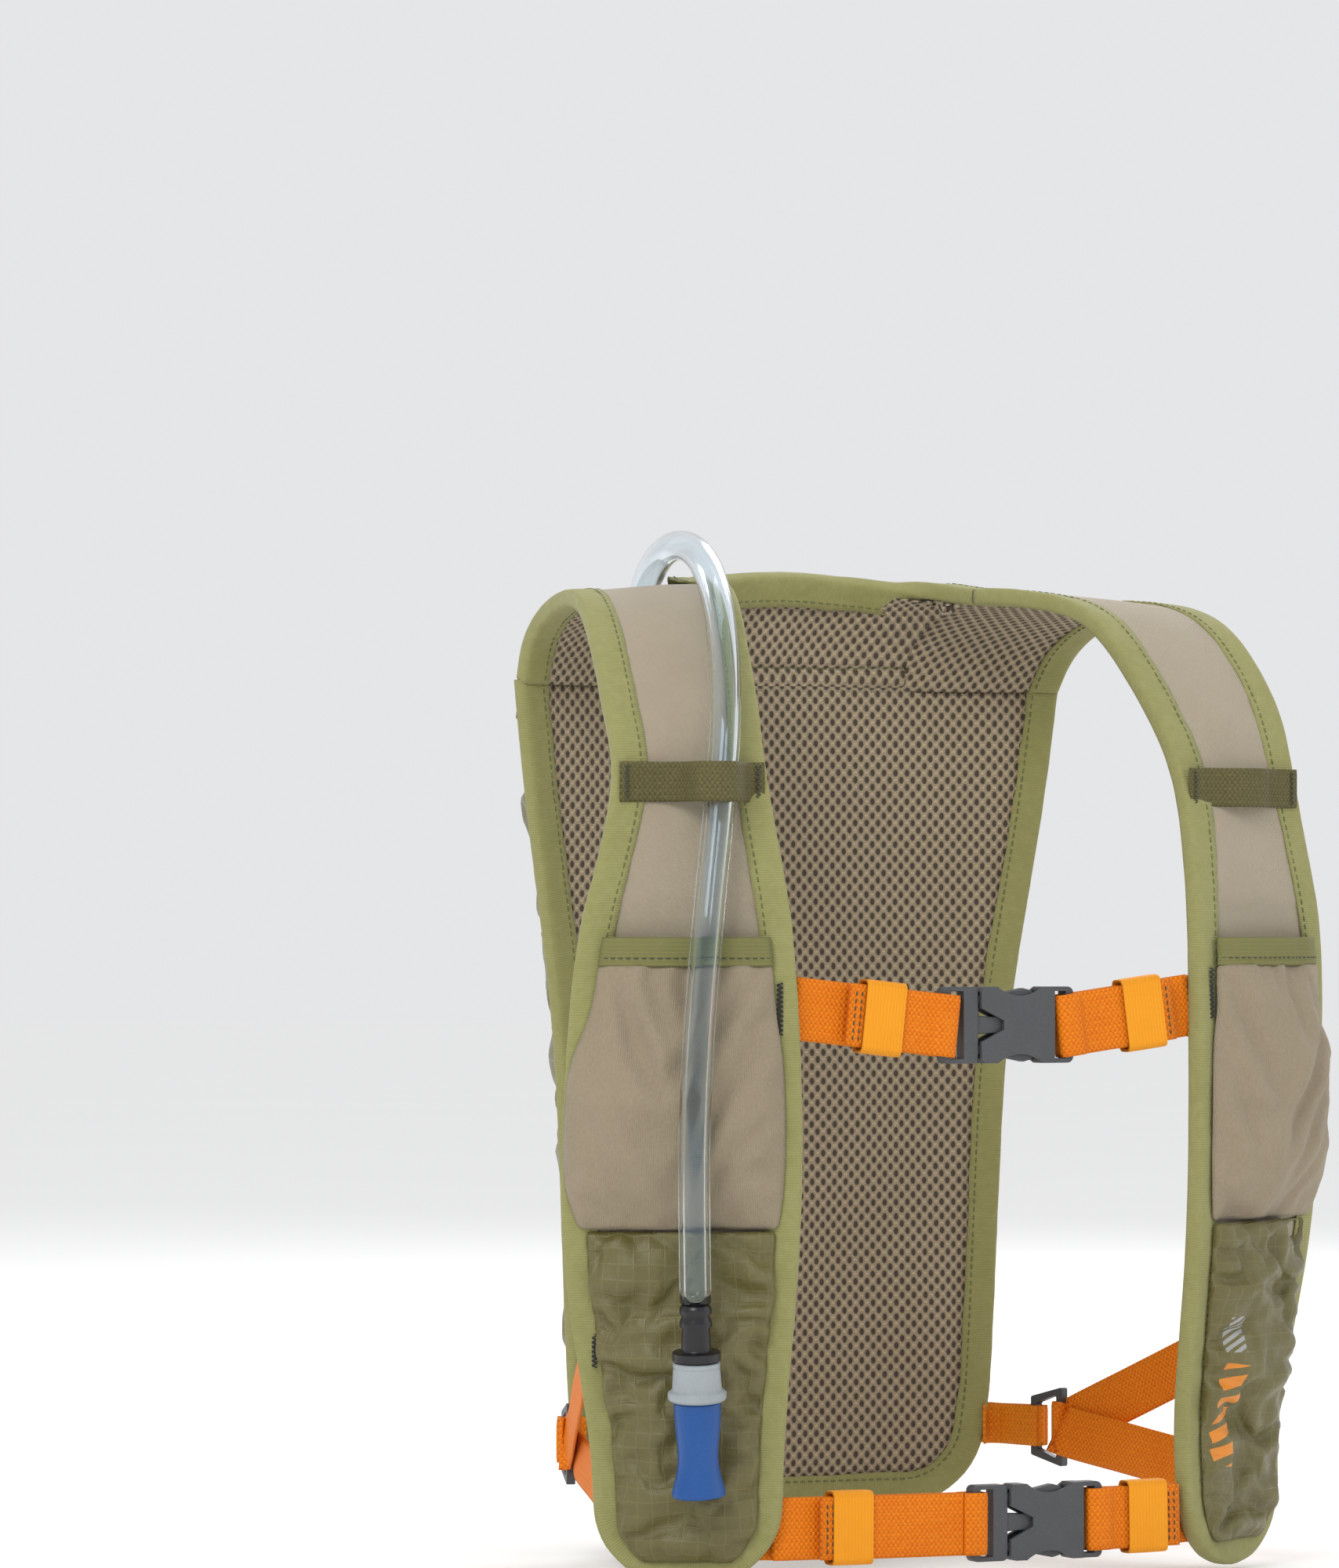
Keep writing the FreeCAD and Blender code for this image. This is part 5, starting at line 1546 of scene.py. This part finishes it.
def stretch_pocket(side):
    word = "left" if side > 0 else "right"
    seed = 71 if side > 0 else 77
    folds = LEFT_POCKET_FOLDS if side > 0 else RIGHT_POCKET_FOLDS
    columns = 30
    levels = heights(216, 124.8, 2.8)

    def lift(across, height, crown):
        top = math.exp(-(216 - height) / 17) * 1.7 * drift(across, seed + 5, 6.5)
        return creases(across, height,
                       folds) + (1.8 * drift2(across, height, seed, 22) + top) * crown

    rows = []
    for height in levels:
        swell = smooth_value(STRETCH_POCKET, height)
        belly = 0.19 * math.exp(-((height - 160) / 34) ** 4)
        rows.append(pocket_row(height, swell, columns, 1.0, lift=lift, bulge=belly))
    rows = on_side(rows, side)
    piece = cloth("stretch_pocket_cloth_" + word, rows, STRETCH,
                  toward=Vector((0.4 * side, -1, 0)))
    gather(piece, pocket_pins(columns, len(levels)), 0.055, 0.6, 3.0, frames=16, stiff=0.3)
    finish_cloth(piece, 1.0, 1)
    place_piece(piece, "pack", "stretch_cloth", "stretch_pocket_" + word)

    band_rows = []
    for height in (225.6, 225.0, 222.6, 220.2, 217.8, 216.6, 216.0):
        wall = 1.6
        curl = 0.4 if 216.5 < height < 225.2 else 0.0
        wave = lambda across, h, crown: curl + 0.35 * drift(across, seed + 9, 6) * crown
        band_rows.append(pocket_row(height, 8.5, 40, wall, lift=wave))
    band = cloth("pocket_band_" + word, on_side(band_rows, side), OLIVE_ELASTIC, wall=1.4)
    place_piece(band, "pack", "olive_elastic", "pocket_elastic_" + word)
    sewn = Thread(0.28)
    for level in (218.6,):
        line = pocket_row(level, 8.5, 40, 1.6, lift=lambda a, h,
                          c: 0.4 + 0.35 * drift(a, seed + 9, 6) * c + 0.85)
        out = station_at(level).out
        if side < 0:
            line, out = other_side(line), other_side([out])[0]
        sewn.row(line, [out] * len(line), 2.8)
    place_piece(sewn.piece("pocket_stitches_" + word, DARK_THREAD), "pack", "stretch_cloth")


def lower_pocket(side):
    word = "left" if side > 0 else "right"
    seed = 81 if side > 0 else 87
    columns = 30
    levels = heights(123.5, 8.5, 2.4)

    def lift(across, height, crown):
        edge = min(1.0, max(0.0, (abs(across) / 33) ** 3))
        pull = drift(height + (11 if across > 0 else 0), seed + (1 if across > 0 else 2), 4.2)
        folds = (3.2 * drift2(across * 0.35, height, seed, 9)
                 + 1.3 * drift2(across * 0.5, height, seed + 4, 5))
        if side < 0:
            folds = 0.55 * folds - 2.4 * math.exp(-((height - 62) / 42) ** 4)
        return 3.8 * pull * edge * crown ** 0.3 + folds * crown

    rows = []
    for height in levels:
        rows.append(pocket_row(height, smooth_value(LOWER_POCKET, height), columns, 1.0,
                               lift=lift))
    rows = on_side(rows, side)
    finish = RIPSTOP_MARKED if side > 0 else RIPSTOP
    piece = cloth("lower_pocket_cloth_" + word, rows, finish, toward=Vector((0.4 * side, -1, 0)))
    gather(piece, pocket_pins(columns, len(levels)), 0.20, 0.4, 4.5, frames=22, stiff=0.04)
    finish_cloth(piece, 0.8, 1)
    place_piece(piece, "pack", "ripstop", "lower_pocket_" + word)


def keeper_loop(side, rise, share):
    word = "left" if side > 0 else "right"
    spots = ((-0.97, 0.0), (share - 0.5, 0.1), (share - 0.3, 0.72), (share - 0.12, 1.0),
             (share + 0.12, 1.0), (share + 0.3, 0.72), (share + 0.5, 0.1), (0.97, 0.0))
    station = station_at(280)
    floor = FACE + 3 * PLAY + 0.5
    line = [station.place(spot, floor + rise * lift) for spot, lift in spots]
    line = smooth_line(line, 6)
    ways = [UP] * len(line)
    if side < 0:
        line = other_side(line)
    piece = ribbon("tube_loop_" + word, line, ways, 14, 1.0, OLIVE_WEB)
    place_piece(piece, "pack", "olive_web", "hose_loop_" + word)
    sewn = Thread(0.3)
    for share_at in (-0.88, 0.88):
        a = station.place(share_at, floor + 0.75)
        out = station.out
        if side < 0:
            a, out = other_side([a])[0], other_side([out])[0]
        sewn.zigzag(a - UP * 6, a + UP * 6,
            (station.across if side > 0 else other_side([station.across])[0]) * 2.0, out, 1.6)
    place_piece(sewn.piece("tube_loop_tacks_" + word, DARK_THREAD), "pack", "olive_web")


for hand in (1, -1):
    stretch_pocket(hand)
    lower_pocket(hand)
keeper_loop(1, 5.2, 0.0)
keeper_loop(-1, 16.5, -0.22)


# --- chest straps -------------------------------------------------------------------------
CHEST_STRAPS = {
    "sternum": ((3.5, -100.0, 195.0), (-77.5, 6.0, -60.0, -46.5), (77.5, 6.5, 71.0, 58.5)),
    "waist": ((20.0, -91.0, 19.0), (-78.5, 0.5, -66.0, -54.0), (78.5, 0.5, 78.0, 64.5)),
}


def hairpin_line(sign, anchor, tail):
    """The webbing's middle line in the buckle's own plane, from its sewn end to its free end."""
    start, end = sign * BUCKLE_REACH, sign * (BUCKLE_REACH - 3.0)
    half = WEB_THICK / 2
    near, fold = start + sign * 1.0, end - sign * 1.6
    line = [(anchor, 1.2 + half), ((anchor + near) / 2, 1.3 + half),
            (near + sign * 5.5, 1.25 + half),
            (near + sign * 2.2, 2.5 + half), (near, 3.25 + half), (end, 3.3 + half),
            (fold - sign * 0.55, 2.6), (fold - sign * 0.65, 0.0), (fold - sign * 0.55, -2.6),
            (end, -3.3 - half), (near, -3.25 - half), (near + sign * 2.2, -2.5 - half),
            (near + sign * 5.5, -1.25 - half), ((near + tail) / 2, -1.35 - half),
            (tail, -1.25 - half)]
    return line


def strap_webbing(name, middle, side, anchor, rise, tail):
    """One side's webbing: sewn inside the strap, round its edge, and back through the buckle."""
    x0 = middle[0]
    sign = 1 if side > 0 else -1
    start = sign * BUCKLE_REACH
    slant = math.atan2(rise, abs(anchor - x0 - start))
    turn = Matrix.Rotation(-slant * sign, 3, "Y")
    pivot = Vector((start, 0, 0))
    place = at(*middle)
    local = [Vector((x, y, 0)) for x, y in hairpin_line(sign, anchor - x0, tail - x0)]
    line = [place + pivot + turn @ (p - pivot) for p in local]
    station = station_at(line[0].z + SHOULDER_HEIGHT)
    edge, across, out = station.inner, station.across, station.out
    if side < 0:
        edge, across, out = other_side([edge])[0], other_side([across])[0], other_side([out])[0]
    level = Vector((0, 0, line[0].z - edge.z))
    sewn_end = [edge + level + across * reach + out * -2.0 for reach in (19, 14, 9, 4.5)]
    line = smooth_line(sewn_end + [edge + level + across * 0.2 + out * -1.95] + line, 4)
    ways = [turn @ UP] * len(line)
    piece = ribbon(f"{name}_strap_" + ("left" if side > 0 else "right"), line, ways, WEB_WIDTH,
                   WEB_THICK, ORANGE_WEB, 12)
    sewn = Thread(0.34)
    for reach in (3.0, 16.5):
        spot = edge + level + across * reach + out * -2.75
        sewn.row([spot - UP * 9.6, spot + UP * 9.6], [-out] * 2, 2.6)
    for lift in (-9.0, 9.0):
        spot = edge + level + UP * lift + out * -2.75
        sewn.row([spot + across * 3.0, spot + across * 16.5], [-out] * 2, 2.6)
    tail_end = line[-1]
    back = (line[-5] - line[-1]).normalized()
    for reach in (2.2, 4.4):
        spot = tail_end + back * reach + Vector((0, -1, 0)) * 0.62
        way = turn @ UP
        sewn.row([spot - way * 9.4, spot + way * 9.4], [Vector((0, -1, 0))] * 2, 2.6)
    fold = [tail_end + back * r + Vector((0, 1.0, 0)) for r in (5.0, 3.4, 1.7, 0.1)]
    hem = ribbon(f"{name}_strap_hem_" + ("left" if side > 0 else "right"), fold, [turn @ UP] * 4,
                 WEB_WIDTH - 0.4, 0.9, ORANGE_WEB, 12)
    return piece, sewn, hem


def keeper(name, middle, side, keeper_x, rise, anchor):
    """A soft elastic sleeve round both layers of webbing, joined at its back."""
    x0 = middle[0]
    sign = 1 if side > 0 else -1
    start = sign * BUCKLE_REACH
    slant = math.atan2(rise, abs(anchor - x0 - start))
    turn = Matrix.Rotation(-slant * sign, 3, "Y")
    pivot = Vector((start, 0, 0))
    place = at(*middle)
    rings = []
    half_wide, half_thick, corner = 12.95, 3.9, 2.0
    loop = []
    for cx, cz, begin in ((half_thick - corner, half_wide - corner, 0),
                          (-half_thick + corner, half_wide - corner, 90),
                          (-half_thick + corner, -half_wide + corner, 180),
                          (half_thick - corner, -half_wide + corner, 270)):
        for a in (0, 22.5, 45, 67.5, 90):
            angle = math.radians(begin + a)
            loop.append((cx + corner * math.cos(angle), cz + corner * math.sin(angle)))
    outer, inner = [], []
    for k in range(9):
        along = -7.9 + 15.8 * k / 8
        belly = 0.18 * math.cos(math.pi * along / 15.8)
        grow = 1 + 0.02 * belly
        ring_out, ring_in = [], []
        for y, z in loop:
            p = Vector((keeper_x - x0 + along, y * (1 + belly * 0.3), z * grow))
            q = Vector((keeper_x - x0 + along, y * 0.80, z * 0.93))
            ring_out.append(place + pivot + turn @ (p - pivot))
            ring_in.append(place + pivot + turn @ (q - pivot))
        outer.append(ring_out)
        inner.append(ring_in)
    rings = outer + inner[::-1]
    count = len(loop)
    faces = []
    for i in range(len(rings)):
        n = (i + 1) % len(rings)
        for j in range(count):
            k = (j + 1) % count
            faces.append((i * count + j, i * count + k, n * count + k, n * count + j))
    word = "left" if side > 0 else "right"
    piece = new_object(f"{name}_sleeve_{word}", [p for r in rings for p in r], faces,
                       AMBER_ELASTIC)
    paint_uv(piece, [((i % count) * 2.6 * MM, (i // count) * 2.0 * MM) for face in faces
                     for i in face])
    tidy_normals(piece)
    round_edges(piece, 0.35, 50)
    place_piece(piece, f"{name}_keeper_{word}", "amber_elastic", f"{name}_keeper_{word}")


def round_edges(piece, size, angle=30, segments=2):
    bevel = piece.modifiers.new("round", "BEVEL")
    bevel.width = size * MM
    bevel.segments = segments
    bevel.limit_method = "ANGLE"
    bevel.angle_limit = math.radians(angle)
    apply_modifiers(piece)
    only(piece)
    bpy.ops.object.shade_smooth_by_angle(angle=math.radians(40))


def smooth_cad(node, size, finish):
    """A CAD node's own shape with its edges rounded by modifiers, in a better material."""
    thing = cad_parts[node]
    for slot in thing.material_slots:
        slot.material = finish
    if size:
        weld = thing.modifiers.new("weld", "WELD")
        weld.merge_threshold = 0.00001
        flat = thing.modifiers.new("flat", "DECIMATE")
        flat.decimate_type = "DISSOLVE"
        flat.angle_limit = math.radians(2)
        bevel = thing.modifiers.new("round", "BEVEL")
        bevel.width = size * MM
        bevel.segments = 2
        bevel.limit_method = "ANGLE"
        bevel.angle_limit = math.radians(35)
        bevel.harden_normals = True
        bevel.use_clamp_overlap = True


def chest_strap(name):
    middle, right, left = CHEST_STRAPS[name]
    for side, (anchor, rise, tail, keeper_x) in ((-1, right), (1, left)):
        word = "left" if side > 0 else "right"
        piece, sewn, hem = strap_webbing(name, middle, side, anchor, rise, tail)
        stitches = sewn.piece(f"{name}_strap_stitches_{word}", DARK_THREAD)
        if side > 0:
            place_piece(piece, "pack", "orange_web", f"{name}_webbing_{word}")
            place_piece(stitches, "pack", "orange_web")
            place_piece(hem, "pack", "orange_web")
        else:
            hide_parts(f"{name}_webbing_{word}")
            for thing in (piece, stitches, hem):
                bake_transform(thing)
        keeper(name, middle, side, keeper_x, rise, anchor)


for strap_name in CHEST_STRAPS:
    chest_strap(strap_name)
    for part in ("buckle_female", "buckle_male"):
        smooth_cad(f"{strap_name}_{part}", 0.45, BUCKLE)
    for part in ("prong_upper", "prong_lower"):
        smooth_cad(f"{strap_name}_{part}", 0.4, BUCKLE)


# --- side straps, rings and small trim ----------------------------------------------------
RING_AT = (100.0, 42.0, 42.0)


def strap_back_edge(height):
    """Where the side strap is sewn, just inside the strap's outer edge."""
    station = station_at(height)
    return station.outer + station.out * -5.2 - station.across * 4.0


def ring_forward():
    """From the ring towards the strap's outer edge, level."""
    target = strap_back_edge(55)
    x, y, _ = RING_AT
    return (Vector((target.x - x, target.y - y, 0))).normalized()


def side_strap(side):
    word = "left" if side > 0 else "right"
    forward = ring_forward()
    across = Vector((-forward.y, forward.x, 0))
    bar = at(*RING_AT) + forward * 6.5
    line, ways = [], []
    for top, lean in ((84.0, 1), (27.0, -1)):
        end = strap_back_edge(top)
        station = station_at(top)
        hidden = end - station.across * 12 + station.out * 0.6
        start = bar + forward * 5.2 + across * (lean * 1.1) + UP * (lean * 2.0)
        run = (end - start).normalized()
        way = across.cross(run).normalized()
        if way.z < 0:
            way = -way
        points = [hidden, end, end.lerp(start, 0.33) + across * lean * 0.8,
                  end.lerp(start, 0.7) + across * lean * 0.4, start]
        line += points if lean > 0 else points[::-1]
        ways += [way] * 4 + [(way + UP).normalized()] if lean > 0 else [(way
            + UP).normalized()] + [way] * 4
        if lean > 0:
            for angle in (100, 55, 0, -55, -100):
                a = math.radians(angle)
                line.append(bar - forward * (3.3 * math.cos(a)) + across * (3.3 * math.sin(a)))
                ways.append(UP)
    per = 6
    smooth = smooth_line(line, per)
    turned_ways = []
    for i in range(len(smooth)):
        k, t = divmod(i, per)
        after = ways[min(k + 1, len(ways) - 1)]
        turned_ways.append(ways[k].lerp(after, t / per).normalized())
    if side < 0:
        smooth, turned_ways = other_side(smooth), other_side(turned_ways)
    piece = ribbon("side_strap_" + word, smooth, turned_ways, SIDE_WEB_WIDTH, WEB_THICK,
                   ORANGE_WEB, 10)
    place_piece(piece, "pack", "orange_web", "v_strap_" + word)

    bar = at(*RING_AT) - forward * 6.5
    half = 7.6
    height = RING_AT[2]
    end = back_point(64, height) + back_out(64) * (FACE + 1.2)
    sewn_at = back_point(76, height) + back_out(76) * (FACE + 1.7)
    edge = back_point(87.5, height) + back_out(87.5) * (FACE + 1.9)
    fold = Vector((91, edge.y - 3.2, edge.z))
    outer = [end, sewn_at, edge, fold + across * -0.2]
    around = []
    for angle in (-100, -50, 0, 50, 100):
        a = math.radians(angle)
        around.append(bar + forward * (3.0 * math.cos(a)) + across * (3.0 * math.sin(a)))
    if (around[0] - outer[-1]).length > (around[-1] - outer[-1]).length:
        around.reverse()
    under = [Vector((90.0, edge.y - 5.0, edge.z)), back_point(84, height) - back_out(84) * 2.6]
    line = smooth_line(outer + around + under, 5)
    if side < 0:
        line = other_side(line)
    tab = ribbon("ring_tab_web_" + word, line, [UP] * len(line), 2 * half, 1.2, AMBER_WEB, 8)
    place_piece(tab, "pack", "orange_web", "ring_tab_" + word)
    sewn = Thread(0.3)
    for share in (0.25, 0.75):
        spot = end.lerp(sewn_at, share) + back_out(70) * 0.7
        a, b = spot - UP * 6.4, spot + UP * 6.4
        out = back_out(70)
        if side < 0:
            a, b, out = other_side([a])[0], other_side([b])[0], other_side([out])[0]
        sewn.zigzag(a, b, (ALONG_X * 1.8), out, 1.6)
    for top in (84.0, 27.0):
        station = station_at(top)
        spot = station.outer - station.across * 6.0 + station.out * (FACE + 0.25)
        a, b = spot - UP * 8, spot + UP * 8
        out, wide = station.out, station.across * 2.2
        if side < 0:
            a, b, out, wide = [other_side([v])[0] for v in (a, b, out, wide)]
        if top > 50:
            sewn.zigzag(a, b, wide, out, 1.6)
    place_piece(sewn.piece("side_tacks_" + word, TACK_THREAD), "pack", "orange_web")
    smooth_cad("side_ring_" + word, 0.35, BUCKLE)


AMBER_WEB = webbing("amber webbing", (0.86, 0.27, 0.006), (0.60, 0.13, 0.003), (0.98, 0.44, 0.03))
for hand in (1, -1):
    side_strap(hand)


def chest_tacks():
    sewn = Thread(0.34)
    for height, side in ((206.0, 1), (201.0, -1)):
        station = station_at(height)
        spot = station.inner + station.across * 5.5 + station.out * (FACE + 0.55)
        a, b = spot - UP * 9, spot + UP * 9
        out, wide = station.out, station.across * 2.6
        if side < 0:
            a, b, out, wide = [other_side([v])[0] for v in (a, b, out, wide)]
        sewn.zigzag(a, b, wide, out, 1.6)
    place_piece(sewn.piece("chest_tacks", TACK_THREAD), "pack", "tack_thread", "bar_tacks")


def hang_loop():
    line = [(-37, 70.2), (-30, 73.2), (-23, 77.6), (-12, 81.2), (0, 82.4), (12, 81.2), (23, 77.6),
            (30, 73.2), (37, 70.2)]
    dip = [1.5, 0.6, 0, -0.4, -0.6, -0.3, 0, 0.6, 1.5]
    points = smooth_line([at(x, y, 344 + d) for (x, y), d in zip(line, dip)], 8)
    ways = [(UP + Vector((0, 0.12 * math.sin(i / 9), 0))).normalized() for i in range(len(points))]
    piece = ribbon("hanging_loop", points, ways, 10, 1.2, OLIVE_WEB)
    place_piece(piece, "pack", "olive_web", "hang_loop")
    sewn = Thread(0.3)
    for x, y in ((-33.5, 72.2), (33.5, 72.2)):
        spot = at(x, y + 1.1, 344.8)
        out = Vector((0.35 * math.copysign(1, x), 1, 0.35)).normalized()
        sewn.zigzag(spot - UP * 4, spot + UP * 4, ALONG_X * 2.0, out, 1.6)
    tab_line = [at(1.8, 79.2, 333), at(1.8, 80.6, 329), at(1.8, 81.0, 324.5), at(1.8, 81.3, 320)]
    tab = ribbon("neck_tab", smooth_line(tab_line, 4), [ALONG_X] * 13, 13, 1.3, OLIVE_WEB)
    place_piece(tab, "pack", "olive_web")
    for x in (-3.2, 6.8):
        sewn.row([at(x, 81.4, 331), at(x, 82.1, 321)], [Vector((0, 1, 0))] * 2, 2.6)
    place_piece(sewn.piece("neck_stitches", DARK_THREAD), "pack", "olive_web")


chest_tacks()
hang_loop()

smooth_cad("bladder_fill_port", 0.3, BLACK_PLASTIC)
smooth_cad("bladder_fill_cap", 0.4, BUCKLE)
smooth_cad("bladder_outlet", 0.3, BLACK_PLASTIC)
smooth_cad("inner_tube", 0.0, HOSE)
